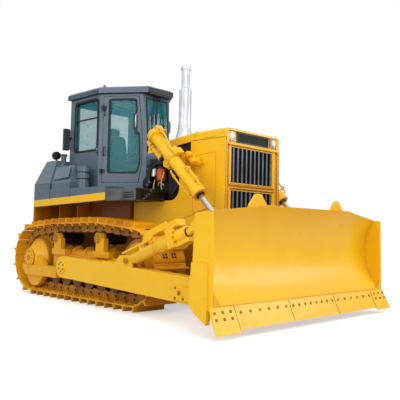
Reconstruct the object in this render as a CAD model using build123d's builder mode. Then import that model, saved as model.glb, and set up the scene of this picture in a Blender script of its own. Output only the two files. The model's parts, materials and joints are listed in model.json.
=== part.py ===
"""A crawler bulldozer with a straight blade, as separate sub-parts, in millimetres.

X points forward to the blade, Y to the operator's left and Z up, with Z = 0 at the grouser tips.
Every size below is laid out from the middle of the undercarriage. Each finished piece is moved
by STORE, so that the stored origin lies under the middle of the machine's overall box.
"""
import os
from math import acos, atan2, cos, hypot, pi, sin, sqrt

from build123d import *

os.makedirs("parts", exist_ok=True)

SIDES = (("right", -1), ("left", 1))
RUN = 0.3          # gap at curved seats
GAP = 6.0          # gap between pieces that move past each other

# ---- Undercarriage -------------------------------------------------------------------------
SPROCKET_X = -1150.0
IDLER_X = 1550.0
TRACK_Y = 1000.0           # half the gauge
SHOE_WIDTH = 560.0
RAIL_R = 387.0             # rail surface round the sprocket and the idler
PIN_RISE = 64.0            # track pins above the rail surface
LINK_HEIGHT = 128.0
SHOE_THICK = 25.0
SHOE_REACH = 106.0         # half the length of a shoe along the track
GROUSER = 72.0
GROUSER_BACK = 50.0        # middle of the grouser behind the shoe's middle
GROUSER_HALF = (21.0, 9.0)         # half its thickness at the plate and at the tip
BAND = 12.0                # strip that joins the shoes of one track
SHOES = 39
TEETH = 26
TOOTH_R = 462.0
TOOTH_DEEP = 75.0
RAIL_IN = 48.0             # inner and outer face of each link rail, from the track's middle
RAIL_OUT = 105.0
CARRIERS = ((-480.0, 1054.0), (690.0, 1080.0))     # x, height of the rail over it
CARRIER_R = 92.0
ROLLER_R = 105.0
ROLLERS = 6
ROLLER_INSET = (560.0, 530.0)      # first and last roller, in from the sprocket and the idler
RIM_R = RAIL_R - 50                # bolt ring of the sprocket
IDLER_FLANGE = 30.0
FLANGE = 22.0              # roller flanges, outside the rails
FLANGE_THICK = 11.0
FLANGE_GAP = 3.0
FRAME_HALF = 120.0         # half the width of a track frame
FRAME_WALL = 25.0          # roller guards on both sides of it
FRAME_LOW = 400.0
FRAME_TOP = 700.0
RECOIL_R = 92.0            # housing of the recoil spring on each track frame
RECOIL_X = (-430.0, 900.0)
CARRIER_POST = (-55.0, 150.0)      # x of a carrier's post and of its foot, from the roller's axis
CARRIER_FOOT = (-115.0, 280.0)
CARRIER_OUT = 200.0                # outer face of the post, from the track's middle
FOOT_TOP = 790.0
FOOT_IN = 95.0
CARRIER_CAP = 80.0
GUARD_PAST = 120.0         # roller guards beyond the end rollers
GUARD_DROP = 12.0          # and below the rollers' axis
GUARD_CUT = 45.0
FORK = (250.0, 90.0)       # idler guides: from behind the idler to ahead of its axis
FORK_LAP = 60.0
FORK_CUT = 20.0
FORK_EYE = 80.0
FRAME_CLEAR = 30.0
BOSS_HALF = 110.0          # block that carries the push arm's trunnion
DRIVE_R = (300.0, 360.0)   # final drive case, inner and outer part
DRIVE_Y = 660.0
COVER_R = 320.0            # hub cover: foot, waist and outer face
COVER_RIM = 25.0
COVER_NECK = 150.0
COVER_CAP = 110.0
CAP_STEP = 15.0
SUPPORT_CUT = 100.0
COVER_FACE = 300.0         # outer face of the hub cover, from the track's middle
SUPPORT = (-1366.0, -291.0, 330.0, 500.0)          # hub support: x0, x1, z0, z1
SUPPORT_LOBE = (-1045.0, 420.0, 270.0, 250.0)      # its lower lobe: x, z, radius, outer face

SHOE_R = RAIL_R + LINK_HEIGHT
TIP_R = SHOE_R + SHOE_THICK + GROUSER
AXLE_Z = TIP_R
TRACK_IN = TRACK_Y - SHOE_WIDTH / 2
TRACK_OUT = TRACK_Y + SHOE_WIDTH / 2
RAIL_LOW = AXLE_Z - RAIL_R                         # top of the rails on the ground run
GUARD_Y = FRAME_HALF + FRAME_WALL                  # outer face of a roller guard

# ---- Hull ----------------------------------------------------------------------------------
HULL_HALF = 450.0
HULL_REAR = -1470.0
HULL_FRONT = 2300.0
CLEARANCE = 405.0          # under the belly guard
NOSE_RISE = 30.0                   # hull's lower edge rises towards the front
CASE_INSET = 40.0                  # upper case ahead of the fenders' rear
BELLY_THICK = 40.0
CASE_FRONT = -250.0        # front end of the steering case
CASE_TOP = 1200.0
RAIL_TOP = 1050.0
RAIL_WIDTH = 120.0
HULL_CUT = 90.0            # slanted ends of the hull's underside
CROSS_THICK = 80.0
PANEL_Y = 640.0            # outer face of the hull's side panels
PANELS = ((-1340.0, -930.0), (-895.0, -365.0), (-330.0, 730.0))     # x0, x1 of each
PANEL_ROUND = 70.0
PANEL_LOW = 1180.0
PIVOT_BAR = (-420.0, 600.0, 75.0)                  # x, z, radius
EQUALIZER = (1050.0, 1200.0, 600.0, 700.0)         # x0, x1, z0, z1

# ---- Drawbar -------------------------------------------------------------------------------
HITCH_REACH = 190.0
HITCH_BORE = 30.0
HITCH_Z = (470.0, 650.0)
HITCH_PLATE = 50.0
HITCH_NOSE = 60.0
HITCH_HALF = (130.0, 80.0) # half width of the jaw at its root and its nose
HITCH_FACE = (330.0, 480.0, 1050.0, 30.0)          # half width, z0, z1, thickness

# ---- Engine --------------------------------------------------------------------------------
ENGINE_HALF = 300.0
ENGINE_REAR = 760.0
ENGINE_TOP = 2250.0
ENGINE_UP = 55.0           # engine above the belly guard
ENGINE_FEET = (1000.0, 1650.0)
FOOT_LONG = 120.0
FOOT_HIGH = 90.0
FAN_SPACE = 60.0

# ---- Blade and push arms -------------------------------------------------------------------
PIVOT = (190.0, 545.0)             # x, z of the trunnions
PIVOT_R = 60.0
BORE_PLAY = 0.1                    # room round a pin that turns
ARM_IN = 1330.0
ARM_OUT = 1490.0
ARM_HALF_HEIGHT = 160.0
ARM_FRONT_Z = 416.0
BLADE_X = 3625.0                   # front of the blade's top edge
BLADE_HALF = 1835.0
BLADE_TOP = 1447.0
CORNER_TOP = 1340.0
STRAIGHT_HALF = 905.0              # half of the level stretch of the top edge
MOLD_MID = (BLADE_X - 247.0, 840.0)
JOINT = (BLADE_X + 20.0, 336.0)    # where the cutting edge starts
TIP = (BLADE_X + 132.0, 91.5)
MOLD_THICK = 30.0
END_PLATE = 40.0
END_REAR = (BLADE_X - 246.0, BLADE_X - 288.0)      # top and bottom of the end plate's rear edge
BIT_HALF = 1880.0
BIT_WIDTH = 400.0
BIT_DROP = 36.0
BIT_FLARE = 40.0                   # how far an end bit's lower corner stands beyond its upper one
EDGE_THICK = 36.0
EDGE_JOINT = 1.0                   # half the gap between wear plates
BEVEL_RISE = 14.0
SKIN_END = 50.0                    # depth of the shell at its top and bottom edges
END_DROP = 10.0                    # end plate's rear corner below its front one
SHELL_STEP = 100.0                 # height between points that follow the shell
FLOOR_REAR = 60.0                  # box floor ahead of the end plate's rear
FLOOR_FRONT = 120.0                # box floor behind the cutting edge
SKID = ((JOINT[0] - 50, 190.0), (JOINT[0] - 53, 149.0), (END_REAR[1] + 83, 250.0))     # foot of an end plate
WEAR_EDGE = 42.0                   # wear plate behind the blade's front
WEAR_TOP = 795.0                   # top of the wear plate outside each end plate
WEAR_THICK = 22.0
TAB_Y = 862.0
TAB_X = BLADE_X - 185.0
TAB_TOP = 1590.0
TAB_THICK = 30.0
TAB = ((-170.0, CORNER_TOP), (-170.0, BLADE_TOP), (-62.0, TAB_TOP - 18), (-34.0, TAB_TOP), (34.0, TAB_TOP),
       (62.0, TAB_TOP - 18), (170.0, BLADE_TOP), (170.0, CORNER_TOP))
BEAM_X = BLADE_X - 363.0            # rear face of the blade's two box beams
LOW_BEAM = 640.0                   # top of the lower beam and underside of the upper one
HIGH_BEAM = 1170.0
BEAM_TOP = 1210.0                  # where the upper beam's rear face ends
SOCKET = 105.0                     # half size of the block round each brace's ball
RIB_Y = (300.0, 660.0, 1150.0)     # upright ribs behind the blade
RIB_THICK = 28.0

# ---- Lift cylinders ------------------------------------------------------------------------
LIFT_Y = 890.0
LIFT_TRUNNION = (1940.0, 2130.0)
LIFT_EYE = (BLADE_X - 445.0, 975.0)
BARREL_BACK = 530.0                # barrel behind and ahead of the trunnion
BASE_THICK = 20.0                  # wall behind the barrel's bore
CAP_BACK = 20.0                    # end cap behind the barrel
CAP_AHEAD = 60.0                   # end cap round the barrel's rear
GLAND_LAP = 40.0                   # gland's collar over the barrel
LOBE_ROOT = 60.0                   # start of a trunnion lobe inside the wall
LOBE_ARM = 45.0                    # thickness of the fork's arms
COLLAR_SINK = 40.0                 # trunnion collar into the barrel's side
PIN_GRIP = 28.0                    # trunnion pin into the barrel's side
YOKE_ROOM = 20.0                   # space between the yoke and the barrel
TUBE_FOOT = (40.0, 10.0)           # start and end of the side tube's foot, from its end
BARREL_AHEAD = 770.0
BARREL_R = 84.0
CAP_OVER = 22.0                    # how far the cap and gland stand beyond the barrel
GLAND_OVER = 16.0
ROD_R = 40.0
ROD_INSIDE = 420.0                 # rod inside the barrel at rest
EYE_R = 72.0
EYE_HALF = 40.0
EAR = 30.0
EAR_ROOT = (160.0, 200.0)          # foot of an ear on the shell, below and above the eye
TRUNNION_R = 38.0
COLLAR_R = 75.0
LOBE_R = 58.0                      # trunnion lobes on both sides of the barrel
LOBE_REACH = 152.0
FORK_THICK = 24.0
GLAND = 90.0
YOKE_HALF = 60.0
YOKE_PLATE = (110.0, 250.0, 110.0, 90.0, 40.0)     # behind, ahead, below, above, thickness
SIDE_TUBE = (36.0, -150.0, -430.0, -170.0)         # radius, offset below, start, end
PORTS = ((-1, 38.0, 165.0), (1, 50.0, 152.0))      # port blocks on the cap: side, half width, reach

# ---- Braces --------------------------------------------------------------------------------
BRACE_Y = 1430.0
BRACE_PIN = (1770.0, 718.0)
BRACKET_FOOT = (1190.0, 690.0)     # lugs for the brace on the push arm
BRACKET_SHOULDER = 1608.0
BRACKET_TOP = 786.0
PIVOT_CAP = 95.0
CLEVIS_X = BEAM_X - 562.0           # wear plate at the arm's front end
CLEVIS_Z = (290.0, 478.0)
CLEVIS_CUT = (20.0, 10.0)          # slant of the clevis plate's foot and top
BRACKET_RUN = 300.0                # length of the brace bracket's low stretch
BRACKET_DIP = 20.0                 # fall of that stretch
BRACKET_FLAT = 60.0                # bracket's level top ahead of the brace pin
BRACKET_NOSE = 100.0               # bracket's front ahead of the brace pin
BRACKET_CUT = 50.0                 # slant at the bracket's upper front corner
BRACKET_DEEP = 120.0               # depth of the bracket's root in the arm
CLEVIS_THICK = 22.0
BRACE_HEAD = (BLADE_X - 340.0, 1262.0)
BRACE_R = 78.0
LUG_REACH = 112.0                  # from the brace's pin to its round tube
TONGUE_R = 62.0
TONGUE = (-50.0, 25.0)             # faces of the tongue between the lugs, from BRACE_Y
LUG = 30.0
TILT_START = 645.0                 # barrel of the tilt cylinder along the brace
TILT_END = 885.0
TILT_R = 108.0
HEAD_HALF = 122.0
HEAD_END = 985.0
GLAND_R = 88.0
GLAND_END = 1160.0
TILT_ROD = 48.0
HEAD_BALL = 85.0
PORT_TOP = 205.0                   # port block on the head, above the axis
PORT_HALF = 70.0
PORT_END = 1075.0
FOOT_END = 1215.0
HOSE_PLATE = ((-60.0, 106.0), (-60.0, 130.0), (385.0, 132.0), (440.0, 205.0), (500.0, 235.0), (TILT_END, 235.0),
              (TILT_END, 150.0), (620.0, 150.0), (560.0, 106.0))
HOSE_THICK = 22.0
HOSE_HALF = 70.0
HOSE_RISE = 120.0
HOSE_STAYS = (300.0, 600.0)
SCREW_START = 900.0                # where the left brace narrows to its screw
SCREW_R = 62.0

# ---- Upper works ---------------------------------------------------------------------------
GUARD_HALF = 582.0
GUARD_REAR = 1989.0
GUARD_FRONT = 2660.0
GUARD_FACE = 2620.0
HOOD_TOP = 2525.0
HOOD_FLANGE = 125.0
HOOD_BEND = 2074.0         # where the hood starts to slope down to its rear end
HOOD_REAR = (1052.0, 2411.0)       # x and top of that end
HOOD_ROUND = 34.0
SEAM = 4.0                 # gap between the hood's flanges and the guard
GUARD_TOE = 60.0           # lower rear corner of the guard's sides, behind the hull's front
GUARD_LEAN = 10.0          # how far their front edge leans back under the hood
CORNER_UP = 120.0          # front corner of the side covers above the main frame
HOOD_SILL = 14.0
LAMP_LOW = 2326.0
CORE_UP = 300.0                    # radiator core above the guard's foot
CORE_DOWN = 40.0                   # radiator core below the lamps
GRILLE_SET = 4.0                   # grilles set into the guard's face
LAMP_Y = 455.0
LAMP_R = 62.0
LAMP_UP = 97.0
LAMP_DEEP = 30.0
LAMP_STALK = 14.0
GUARD_LOW = 760.0
SHEET = 20.0
FACE_THICK = 40.0
GUARD_LIP = 40.0
CORE = (100.0, 90.0)               # radiator behind the guard's front and ahead of its rear
BAY_TOP = (2000.0, 2255.0)         # top of the cover at the bay's front edge and at the guard
STAY = 40.0
STAY_Z = (1300.0, 1400.0)
GRILLE_HALF = 460.0
GRILLES = (("upper", 1772.0, 2296.0), ("lower", 1100.0, 1706.0))
GRILLE_BARS = 11
BAR = 24.0
TRIM = 22.0                        # raised frame round each grille
COVER_TOP = 1565.0
COVER_LOW = 1180.0
COVER_REAR = 740.0
BAY_FRONT = 1765.0
BAY_ROUND = 180.0
COVER_STAYS = (900.0, 1500.0)      # x of the brackets that carry the side covers
FENDER_OUT = 1130.0
FENDER_REAR = -1370.0
FENDER_FRONT = 735.0
FENDER_TOP = (1593.0, 1676.0)      # top of the fender at its rear and its front
FENDER_DEEP = 115.0
STEP_FRONT = 1455.0
STEP_TOP = 1722.0
STEP_LOW = 1548.0
STEP_GROOVES = (1586.0, 1618.0, 1650.0)
GROOVE = (40.0, 260.0)             # front and rear end of the grooves, from the box's front
GROOVE_HIGH = 12.0
GROOVE_DEEP = 8.0
TANK_SHOULDER = 1873.0
TANK_TOP = 2300.0
TANK_IN = 905.0
TANK_FRONT = (-848.0, -1040.0)     # front of the fuel tank at its shoulder and its top
SIDE_TANK = (-793.0, -241.0)       # x of the side tanks' ends at the shoulder
SIDE_TANK_IN = 760.0
SIDE_TANK_RISE = 297.0             # slope of a side tank above its shoulder
SIDE_TANK_TOP_Y = 970.0
TANK_LEAN = 135.0                  # how far the ends of a side tank lean back at the top
CANISTER = (-235.0, 890.0, 100.0, 2135.0)          # x, y, radius, top
FILLER = (-985.0, 800.0, 46.0, 2390.0)             # x, y, radius, top
FILLER_CAP = 14.0
WORK_LAMP = (-1133.0, 860.0, 2395.0, 68.0)         # x, y, z, radius

# ---- Cab -----------------------------------------------------------------------------------
CAB_REAR = (-943.0, 712.0)         # plan corners: x, half width
CAB_MID = (-83.0, 700.0)
CAB_FRONT = (598.0, 240.0)
CAB_FLOOR = 1830.0
CAB_TOP = 3372.0
CAB_WALL = 60.0
CAB_GAP = 30.0             # between the cab and the fuel tank
FLOOR_THICK = 60.0
FLOOR_FOOT = 640.0         # half width of the foot under the cab floor
FLOOR_INSET = 40.0
LEAN_Z = 2650.0            # the front wall leans back above this height, by FRONT_LEAN at the top
FRONT_LEAN = 72.0
BEACON = (-60.0, -640.0, 22.0, 40.0)
ROOF_THICK = 105.0
ROOF_LAP = 45.0
ROOF_CHAMFER = 30.0
DOOR_THICK = 50.0
GLASS = 8.0
REAR_WINDOW = (-800.0, -130.0, 2440.0, 3290.0)     # x0, x1, z0, z1 in both side walls
FRONT_WINDOW = (175.0, 2420.0, 3270.0)             # half width, z0, z1
BACK_WINDOW = (560.0, 2430.0, 3270.0)
DOOR_SPAN = (60.0, 750.0)          # the doorway along the slanted wall
DOOR_Z = (CAB_FLOOR + 60, CAB_TOP - 50)
DOOR_LEAN = 72.0                   # how far the doorway's front edge falls back at the top and the foot
DOOR_FOOT = 52.0
DOOR_BEND = 330.0
WINDOW_EDGE = 112.0                # door behind its window
WINDOW_U = (618.0, 660.0, 706.0)   # front edge of the window at its top, its foot and the middle
WINDOW_Z = (2058.0, 3265.0)
WINDOW_ROUND = 30.0
NOTCH = (598.0, 2780.0, 2990.0)    # latch notch in the window's front edge
NOTCH_IN = 20.0                    # slant of the window's edge towards the notch
NOTCH_REACH = 90.0                 # height of that slant
HANDLE = (634.0, 12.0, 2810.0, 2990.0, 35.0)       # middle, half width, low and high end, stand-out
LATCH_GAP = 10.0
HINGE_U = 55.0                     # hinge line along the slanted wall and outward from it
HINGE_OUT = 24.0
HINGE_Z = (2080.0, 3130.0)
HINGE_PIN = 9.0
HINGE_R = 16.0
LEAF_START = 20.0                  # start of a hinge leaf along the door
LEAF_RELIEF = 4.0                  # wall of the knuckle round the hinge
HINGE_HALF = 30.0
HINGE_SEAT = 20.0
HINGE_LEAF = 40.0
CUSHION = (-620.0, -120.0, 250.0, 330.0, 120.0)    # x0, x1, half width, underside, thickness
BACKREST = (1120.0, 80.0, 140.0)                   # top, lean and thickness
CONSOLE = (-640.0, -60.0, 300.0, 520.0, 560.0)
LEVER_R = 18.0
LEVER_BACK = 60.0                  # lever behind the console's front
REST_INSET = 10.0                  # back rest inside the seat's sides
STAND_INSET = 70.0                 # seat stand inside the seat's sides
LEVER = 200.0
DASH = (380.0, 500.0, 170.0, 700.0)
MIRROR = (2480.0, 2860.0)
MIRROR_REAR = 30.0                 # behind the cab's rear edge
MIRROR_FRONT = 10.0                # ahead of the cab's rear edge
STALK = (5.0, 25.0)                # mirror's stalk, behind and ahead of that edge
STALK_HALF = 20.0                  # half the stalk's height
MIRROR_ARM = 40.0
MIRROR_WIDE = 90.0

# ---- Exhaust -------------------------------------------------------------------------------
EXHAUST_X = 1230.0
EXHAUST_FOOT = (138.0, 2510.0, 2733.0)             # radius, where it starts to narrow and where it ends
EXHAUST_BANDS = ((2733.0, 3376.0, 98.0), (3376.0, 3733.0, 64.0))

EDGE_REACH = hypot(TIP[0] - JOINT[0], JOINT[1] - TIP[1])
EDGE_WAY = ((TIP[0] - JOINT[0]) / EDGE_REACH, (TIP[1] - JOINT[1]) / EDGE_REACH)
EDGE_BACK = (EDGE_WAY[1] * EDGE_THICK, -EDGE_WAY[0] * EDGE_THICK)
FOREMOST = TIP[0] + EDGE_WAY[0] * BIT_DROP
MIDDLE_X = (FOREMOST + SPROCKET_X - TIP_R) / 2
STORE = Location((-MIDDLE_X, 0, 0))


def keep(piece, name):
    """Label a finished piece, put it in the stored frame and write its file."""
    part = piece.part.moved(STORE)
    part.label = name
    export_step(part, f"parts/{name}.step")


def block(x0, x1, y0, y1, z0, z1, mode=Mode.ADD):
    """A box between two positions on each axis."""
    with Locations(((x0 + x1) / 2, (y0 + y1) / 2, (z0 + z1) / 2)):
        Box(abs(x1 - x0), abs(y1 - y0), abs(z1 - z0), mode=mode)


def side_plate(outline, y0, y1, mode=Mode.ADD):
    """An X-Z outline, extruded from y0 to y1."""
    with BuildSketch(Plane.XZ.offset(-max(y0, y1))) as face:
        with BuildLine():
            Polyline(*outline, close=True)
        make_face()
    extrude(face.sketch, amount=abs(y1 - y0), mode=mode)


def front_plate(outline, x0, x1, mode=Mode.ADD):
    """A Y-Z outline, extruded from x0 to x1."""
    with BuildSketch(Plane.YZ.offset(min(x0, x1))) as face:
        with BuildLine():
            Polyline(*outline, close=True)
        make_face()
    extrude(face.sketch, amount=abs(x1 - x0), mode=mode)


def deck(outline, z0, z1, mode=Mode.ADD):
    """An X-Y outline, extruded from z0 to z1."""
    with BuildSketch(Plane.XY.offset(min(z0, z1))) as face:
        with BuildLine():
            Polyline(*outline, close=True)
        make_face()
    extrude(face.sketch, amount=abs(z1 - z0), mode=mode)


def drum(x, z, r, y0, y1, mode=Mode.ADD):
    """A cylinder along Y."""
    with Locations(Location((x, (y0 + y1) / 2, z), (90, 0, 0))):
        Cylinder(r, abs(y1 - y0), mode=mode)


def post(x, y, r, z0, z1, mode=Mode.ADD):
    """A cylinder along Z."""
    with Locations((x, y, (z0 + z1) / 2)):
        Cylinder(r, z1 - z0, mode=mode)


def peg(x0, x1, y, z, r, mode=Mode.ADD):
    """A cylinder along X."""
    with Locations(Location(((x0 + x1) / 2, y, z), (0, 90, 0))):
        Cylinder(r, abs(x1 - x0), mode=mode)


def turned(outline, x, z, s):
    """A solid of revolution on a Y axis, from pairs of radius and distance outward on side s."""
    with BuildSketch(Plane.XY.offset(z)) as profile:
        with BuildLine():
            Polyline(*((x + r, s * y) for r, y in outline), close=True)
        make_face()
    revolve(profile.sketch, axis=Axis((x, 0, z), (0, 1, 0)))


def toward(start, end, s, off=0.0):
    """The X-Z point at distance s along the line from start to end, and off to its upper side."""
    reach = hypot(end[0] - start[0], end[1] - start[1])
    way = ((end[0] - start[0]) / reach, (end[1] - start[1]) / reach)
    return (start[0] + way[0] * s - way[1] * off, start[1] + way[1] * s + way[0] * off)


def along(start, end, y, r, s0, s1, off=0.0, mode=Mode.ADD):
    """A cylinder beside the X-Z line from start to end at this y, between distances s0 and s1."""
    foot = toward(start, end, s0, off)
    head = toward(start, end, s1, off)
    with BuildSketch(Plane(origin=(foot[0], y, foot[1]), z_dir=(head[0] - foot[0], 0, head[1] - foot[1]))) as ring:
        Circle(r)
    extrude(ring.sketch, amount=s1 - s0, mode=mode)


def lengthwise(start, end, s0, s1, low, high, y0, y1, mode=Mode.ADD):
    """A box beside the X-Z line from start to end: s0 to s1 along it, low to high across it."""
    corners = ((s0, low), (s1, low), (s1, high), (s0, high))
    side_plate([toward(start, end, s, off) for s, off in corners], y0, y1, mode=mode)


def between(low, high, z):
    """X at height z on the straight X-Z line through two points."""
    return low[0] + (high[0] - low[0]) * (z - low[1]) / (high[1] - low[1])


# ============================================================================================
# Undercarriage
# ============================================================================================
WHEELS = [(SPROCKET_X, AXLE_Z, RAIL_R)]
WHEELS += [(x, rail - CARRIER_R, CARRIER_R) for x, rail in CARRIERS]
WHEELS += [(IDLER_X, AXLE_Z, RAIL_R)]


def track_path(grow):
    """The closed path at this distance outside the rails, as straights and arcs.

    It starts under the sprocket, climbs round it and runs forward on top. Each entry holds its
    length, its start, the direction angle of its outward normal there, and its radius or None.
    """
    normals = []
    for (x0, z0, r0), (x1, z1, r1) in zip(WHEELS, WHEELS[1:] + WHEELS[:1]):
        reach = hypot(x1 - x0, z1 - z0)
        normals.append(atan2(z1 - z0, x1 - x0) + acos((r0 - r1) / reach))
    path = []
    for i, (x, z, r) in enumerate(WHEELS):
        before, after = normals[i - 1], normals[i]
        turn = (before - after) % (2 * pi)
        path.append((turn * (r + grow), (x, z), before, r + grow))
        x1, z1, r1 = WHEELS[(i + 1) % len(WHEELS)]
        reach = hypot(x1 - x, z1 - z)
        start = (x + (r + grow) * cos(after), z + (r + grow) * sin(after))
        path.append((sqrt(reach ** 2 - (r - r1) ** 2), start, after, None))
    return path


def on_path(path, s):
    """The X-Z point and the direction angle of the outward normal at distance s along a path."""
    s = s % sum(piece[0] for piece in path)
    for length, start, normal, radius in path:
        if s <= length:
            break
        s -= length
    if radius is None:
        return (start[0] + s * sin(normal), start[1] - s * cos(normal)), normal
    normal -= s / radius
    return (start[0] + radius * cos(normal), start[1] + radius * sin(normal)), normal


def loop_area(grow):
    """The filled track path at this distance outside the rails, in the current sketch."""
    for x, z, r in WHEELS:
        with Locations((x, z)):
            Circle(r + grow)
    make_hull()


def shoe_outline(spot, normal):
    """Plate and grouser of one shoe, seen from the side."""
    plate = LINK_HEIGHT - PIN_RISE
    back = plate + SHOE_THICK
    foot, tip = GROUSER_HALF
    shape = ((-SHOE_REACH, plate), (SHOE_REACH, plate), (SHOE_REACH, back), (foot - GROUSER_BACK, back),
             (tip - GROUSER_BACK, back + GROUSER), (-tip - GROUSER_BACK, back + GROUSER),
             (-foot - GROUSER_BACK, back), (-SHOE_REACH, back))
    return [(spot[0] + u * sin(normal) + v * cos(normal), spot[1] - u * cos(normal) + v * sin(normal))
            for u, v in shape]


PIN_PATH = track_path(PIN_RISE)
PITCH = sum(piece[0] for piece in PIN_PATH) / SHOES

with BuildSketch() as shoe_loop:
    loop_area(LINK_HEIGHT + BAND)
with BuildSketch() as link_loop:
    loop_area(LINK_HEIGHT)
with BuildSketch() as rail_loop:
    loop_area(0)
with BuildSketch() as shoe_ring:
    add(shoe_loop.sketch)
    add(link_loop.sketch, mode=Mode.SUBTRACT)
    for i in range(SHOES):
        with BuildLine():
            Polyline(*shoe_outline(*on_path(PIN_PATH, i * PITCH)), close=True)
        make_face()
with BuildSketch() as link_ring:
    add(link_loop.sketch)
    add(rail_loop.sketch, mode=Mode.SUBTRACT)


def stand_up(flat, y0, y1):
    """A sketch drawn in X and Z, extruded from y0 to y1."""
    with BuildSketch(Plane.XZ.offset(-max(y0, y1))) as face:
        add(flat.sketch)
    extrude(face.sketch, amount=abs(y1 - y0))


for name, s in SIDES:
    with BuildPart() as track:
        stand_up(shoe_ring, s * TRACK_IN, s * TRACK_OUT)
        for edge in (-1, 1):
            stand_up(link_ring, s * TRACK_Y + edge * RAIL_IN, s * TRACK_Y + edge * RAIL_OUT)
    keep(track, f"track_{name}")

TOOTH_STEP = 2 * pi / TEETH
TOOTH_START = -pi / 2 - PITCH / 2 / (RAIL_R + PIN_RISE) + TOOTH_STEP / 2
TOOTH_HALF = (0.30, 0.14)          # half width of a tooth at its root and its tip, in steps
with BuildPart() as sprockets:
    for _, s in SIDES:
        mid = s * TRACK_Y
        drum(SPROCKET_X, AXLE_Z, RIM_R, mid - RAIL_OUT, mid + RAIL_OUT)
        rim = []
        for i in range(TEETH):
            for side, half, r in ((-1, 0, TOOTH_R - TOOTH_DEEP), (-1, 1, TOOTH_R), (1, 1, TOOTH_R),
                                  (1, 0, TOOTH_R - TOOTH_DEEP)):
                angle = TOOTH_START + (i + side * TOOTH_HALF[half]) * TOOTH_STEP
                rim.append((SPROCKET_X + r * cos(angle), AXLE_Z + r * sin(angle)))
        side_plate(rim, mid - RAIL_IN + GAP, mid + RAIL_IN - GAP)
keep(sprockets, "sprockets")

with BuildPart() as final_drives:
    start = TRACK_Y + RAIL_OUT
    face = TRACK_Y + COVER_FACE
    x0, x1, z0, z1 = SUPPORT
    lobe_x, lobe_z, lobe_r, lobe_out = SUPPORT_LOBE
    for _, s in SIDES:
        drum(SPROCKET_X, AXLE_Z, DRIVE_R[0], s * HULL_HALF, s * DRIVE_Y)
        drum(SPROCKET_X, AXLE_Z, DRIVE_R[1], s * DRIVE_Y, s * (TRACK_Y - RAIL_OUT))
        turned(((0, start), (COVER_R, start), (COVER_R, start + COVER_RIM), (COVER_NECK, face - COVER_RIM),
                (COVER_CAP, face - COVER_RIM), (COVER_CAP, face), (0, face)), SPROCKET_X, AXLE_Z, s)
        side_plate(((x0, z1), (x1, z1), (x1, z0), (x0 + SUPPORT_CUT, z0), (x0, z0 + SUPPORT_CUT)),
                   s * (TRACK_Y + GUARD_Y), s * face)
        drum(lobe_x, lobe_z, lobe_r, s * (TRACK_Y + GUARD_Y), s * (TRACK_Y + lobe_out))
keep(final_drives, "final_drives")

with BuildPart() as idlers:
    for _, s in SIDES:
        mid = s * TRACK_Y
        drum(IDLER_X, AXLE_Z, RAIL_R - RUN, mid - RAIL_OUT, mid + RAIL_OUT)
        drum(IDLER_X, AXLE_Z, RAIL_R + IDLER_FLANGE, mid - RAIL_IN + GAP, mid + RAIL_IN - GAP)
keep(idlers, "idlers")

ROLLER_RUN = (SPROCKET_X + ROLLER_INSET[0], IDLER_X - ROLLER_INSET[1])
ROLLER_X = [ROLLER_RUN[0] + i * (ROLLER_RUN[1] - ROLLER_RUN[0]) / (ROLLERS - 1) for i in range(ROLLERS)]
low_axle = RAIL_LOW + ROLLER_R + RUN
with BuildPart() as track_rollers:
    for _, s in SIDES:
        mid = s * TRACK_Y
        reach = RAIL_OUT + FLANGE_GAP + FLANGE_THICK
        for x in ROLLER_X:
            drum(x, low_axle, ROLLER_R, mid - reach, mid + reach)
            for edge in (-1, 1):
                drum(x, low_axle, ROLLER_R + FLANGE, mid + edge * (RAIL_OUT + FLANGE_GAP), mid + edge * reach)
keep(track_rollers, "track_rollers")

with BuildPart() as carrier_rollers:
    for _, s in SIDES:
        mid = s * TRACK_Y
        outer = mid + s * CARRIER_OUT
        for x, rail in CARRIERS:
            drum(x, rail - CARRIER_R, CARRIER_R - RUN, mid - RAIL_OUT, mid + RAIL_OUT)
            drum(x, rail - CARRIER_R, CARRIER_CAP, mid + s * RAIL_OUT, outer + s * CAP_STEP)
            block(x + CARRIER_POST[0], x + CARRIER_POST[1], mid + s * FRAME_HALF, outer, FOOT_TOP, rail - CARRIER_R)
            block(x + CARRIER_FOOT[0], x + CARRIER_FOOT[1], mid + s * FOOT_IN, outer, FRAME_TOP, FOOT_TOP)
keep(carrier_rollers, "carrier_rollers")

with BuildPart() as track_frames:
    fork_rear = IDLER_X - RAIL_R - FORK[0]
    fork_front = IDLER_X + FORK[1]
    guard = (ROLLER_X[0] - GUARD_PAST, ROLLER_X[-1] + GUARD_PAST)
    for _, s in SIDES:
        mid = s * TRACK_Y
        block(SPROCKET_X + TOOTH_R + FRAME_CLEAR, IDLER_X - RAIL_R - IDLER_FLANGE - FRAME_CLEAR,
              mid - FRAME_HALF, mid + FRAME_HALF, low_axle + ROLLER_R + FLANGE + GAP, FRAME_TOP)
        for edge in (-1, 1):
            wall = mid + edge * FRAME_HALF
            side_plate(((guard[0], FRAME_LOW + FORK_LAP), (guard[1], FRAME_LOW + FORK_LAP), (guard[1], low_axle),
                        (guard[1] - GUARD_CUT, low_axle - GUARD_DROP), (guard[0] + GUARD_CUT, low_axle - GUARD_DROP),
                        (guard[0], low_axle)), wall, wall + edge * FRAME_WALL)
            side_plate(((fork_rear, FRAME_TOP), (fork_front, FRAME_TOP - FORK_CUT), (fork_front, AXLE_Z - FORK_EYE),
                        (fork_rear, FRAME_LOW + FORK_CUT)), wall, wall + edge * FRAME_WALL)
        block(PIVOT[0] - BOSS_HALF, PIVOT[0] + BOSS_HALF, s * (TRACK_Y + GUARD_Y), s * (ARM_IN - GAP),
              PIVOT[1] - BOSS_HALF, PIVOT[1] + BOSS_HALF)
        drum(*PIVOT, PIVOT_R, s * (ARM_IN - GAP), s * ARM_OUT)
        peg(*RECOIL_X, mid, FRAME_TOP, RECOIL_R)
keep(track_frames, "track_frames")

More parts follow.
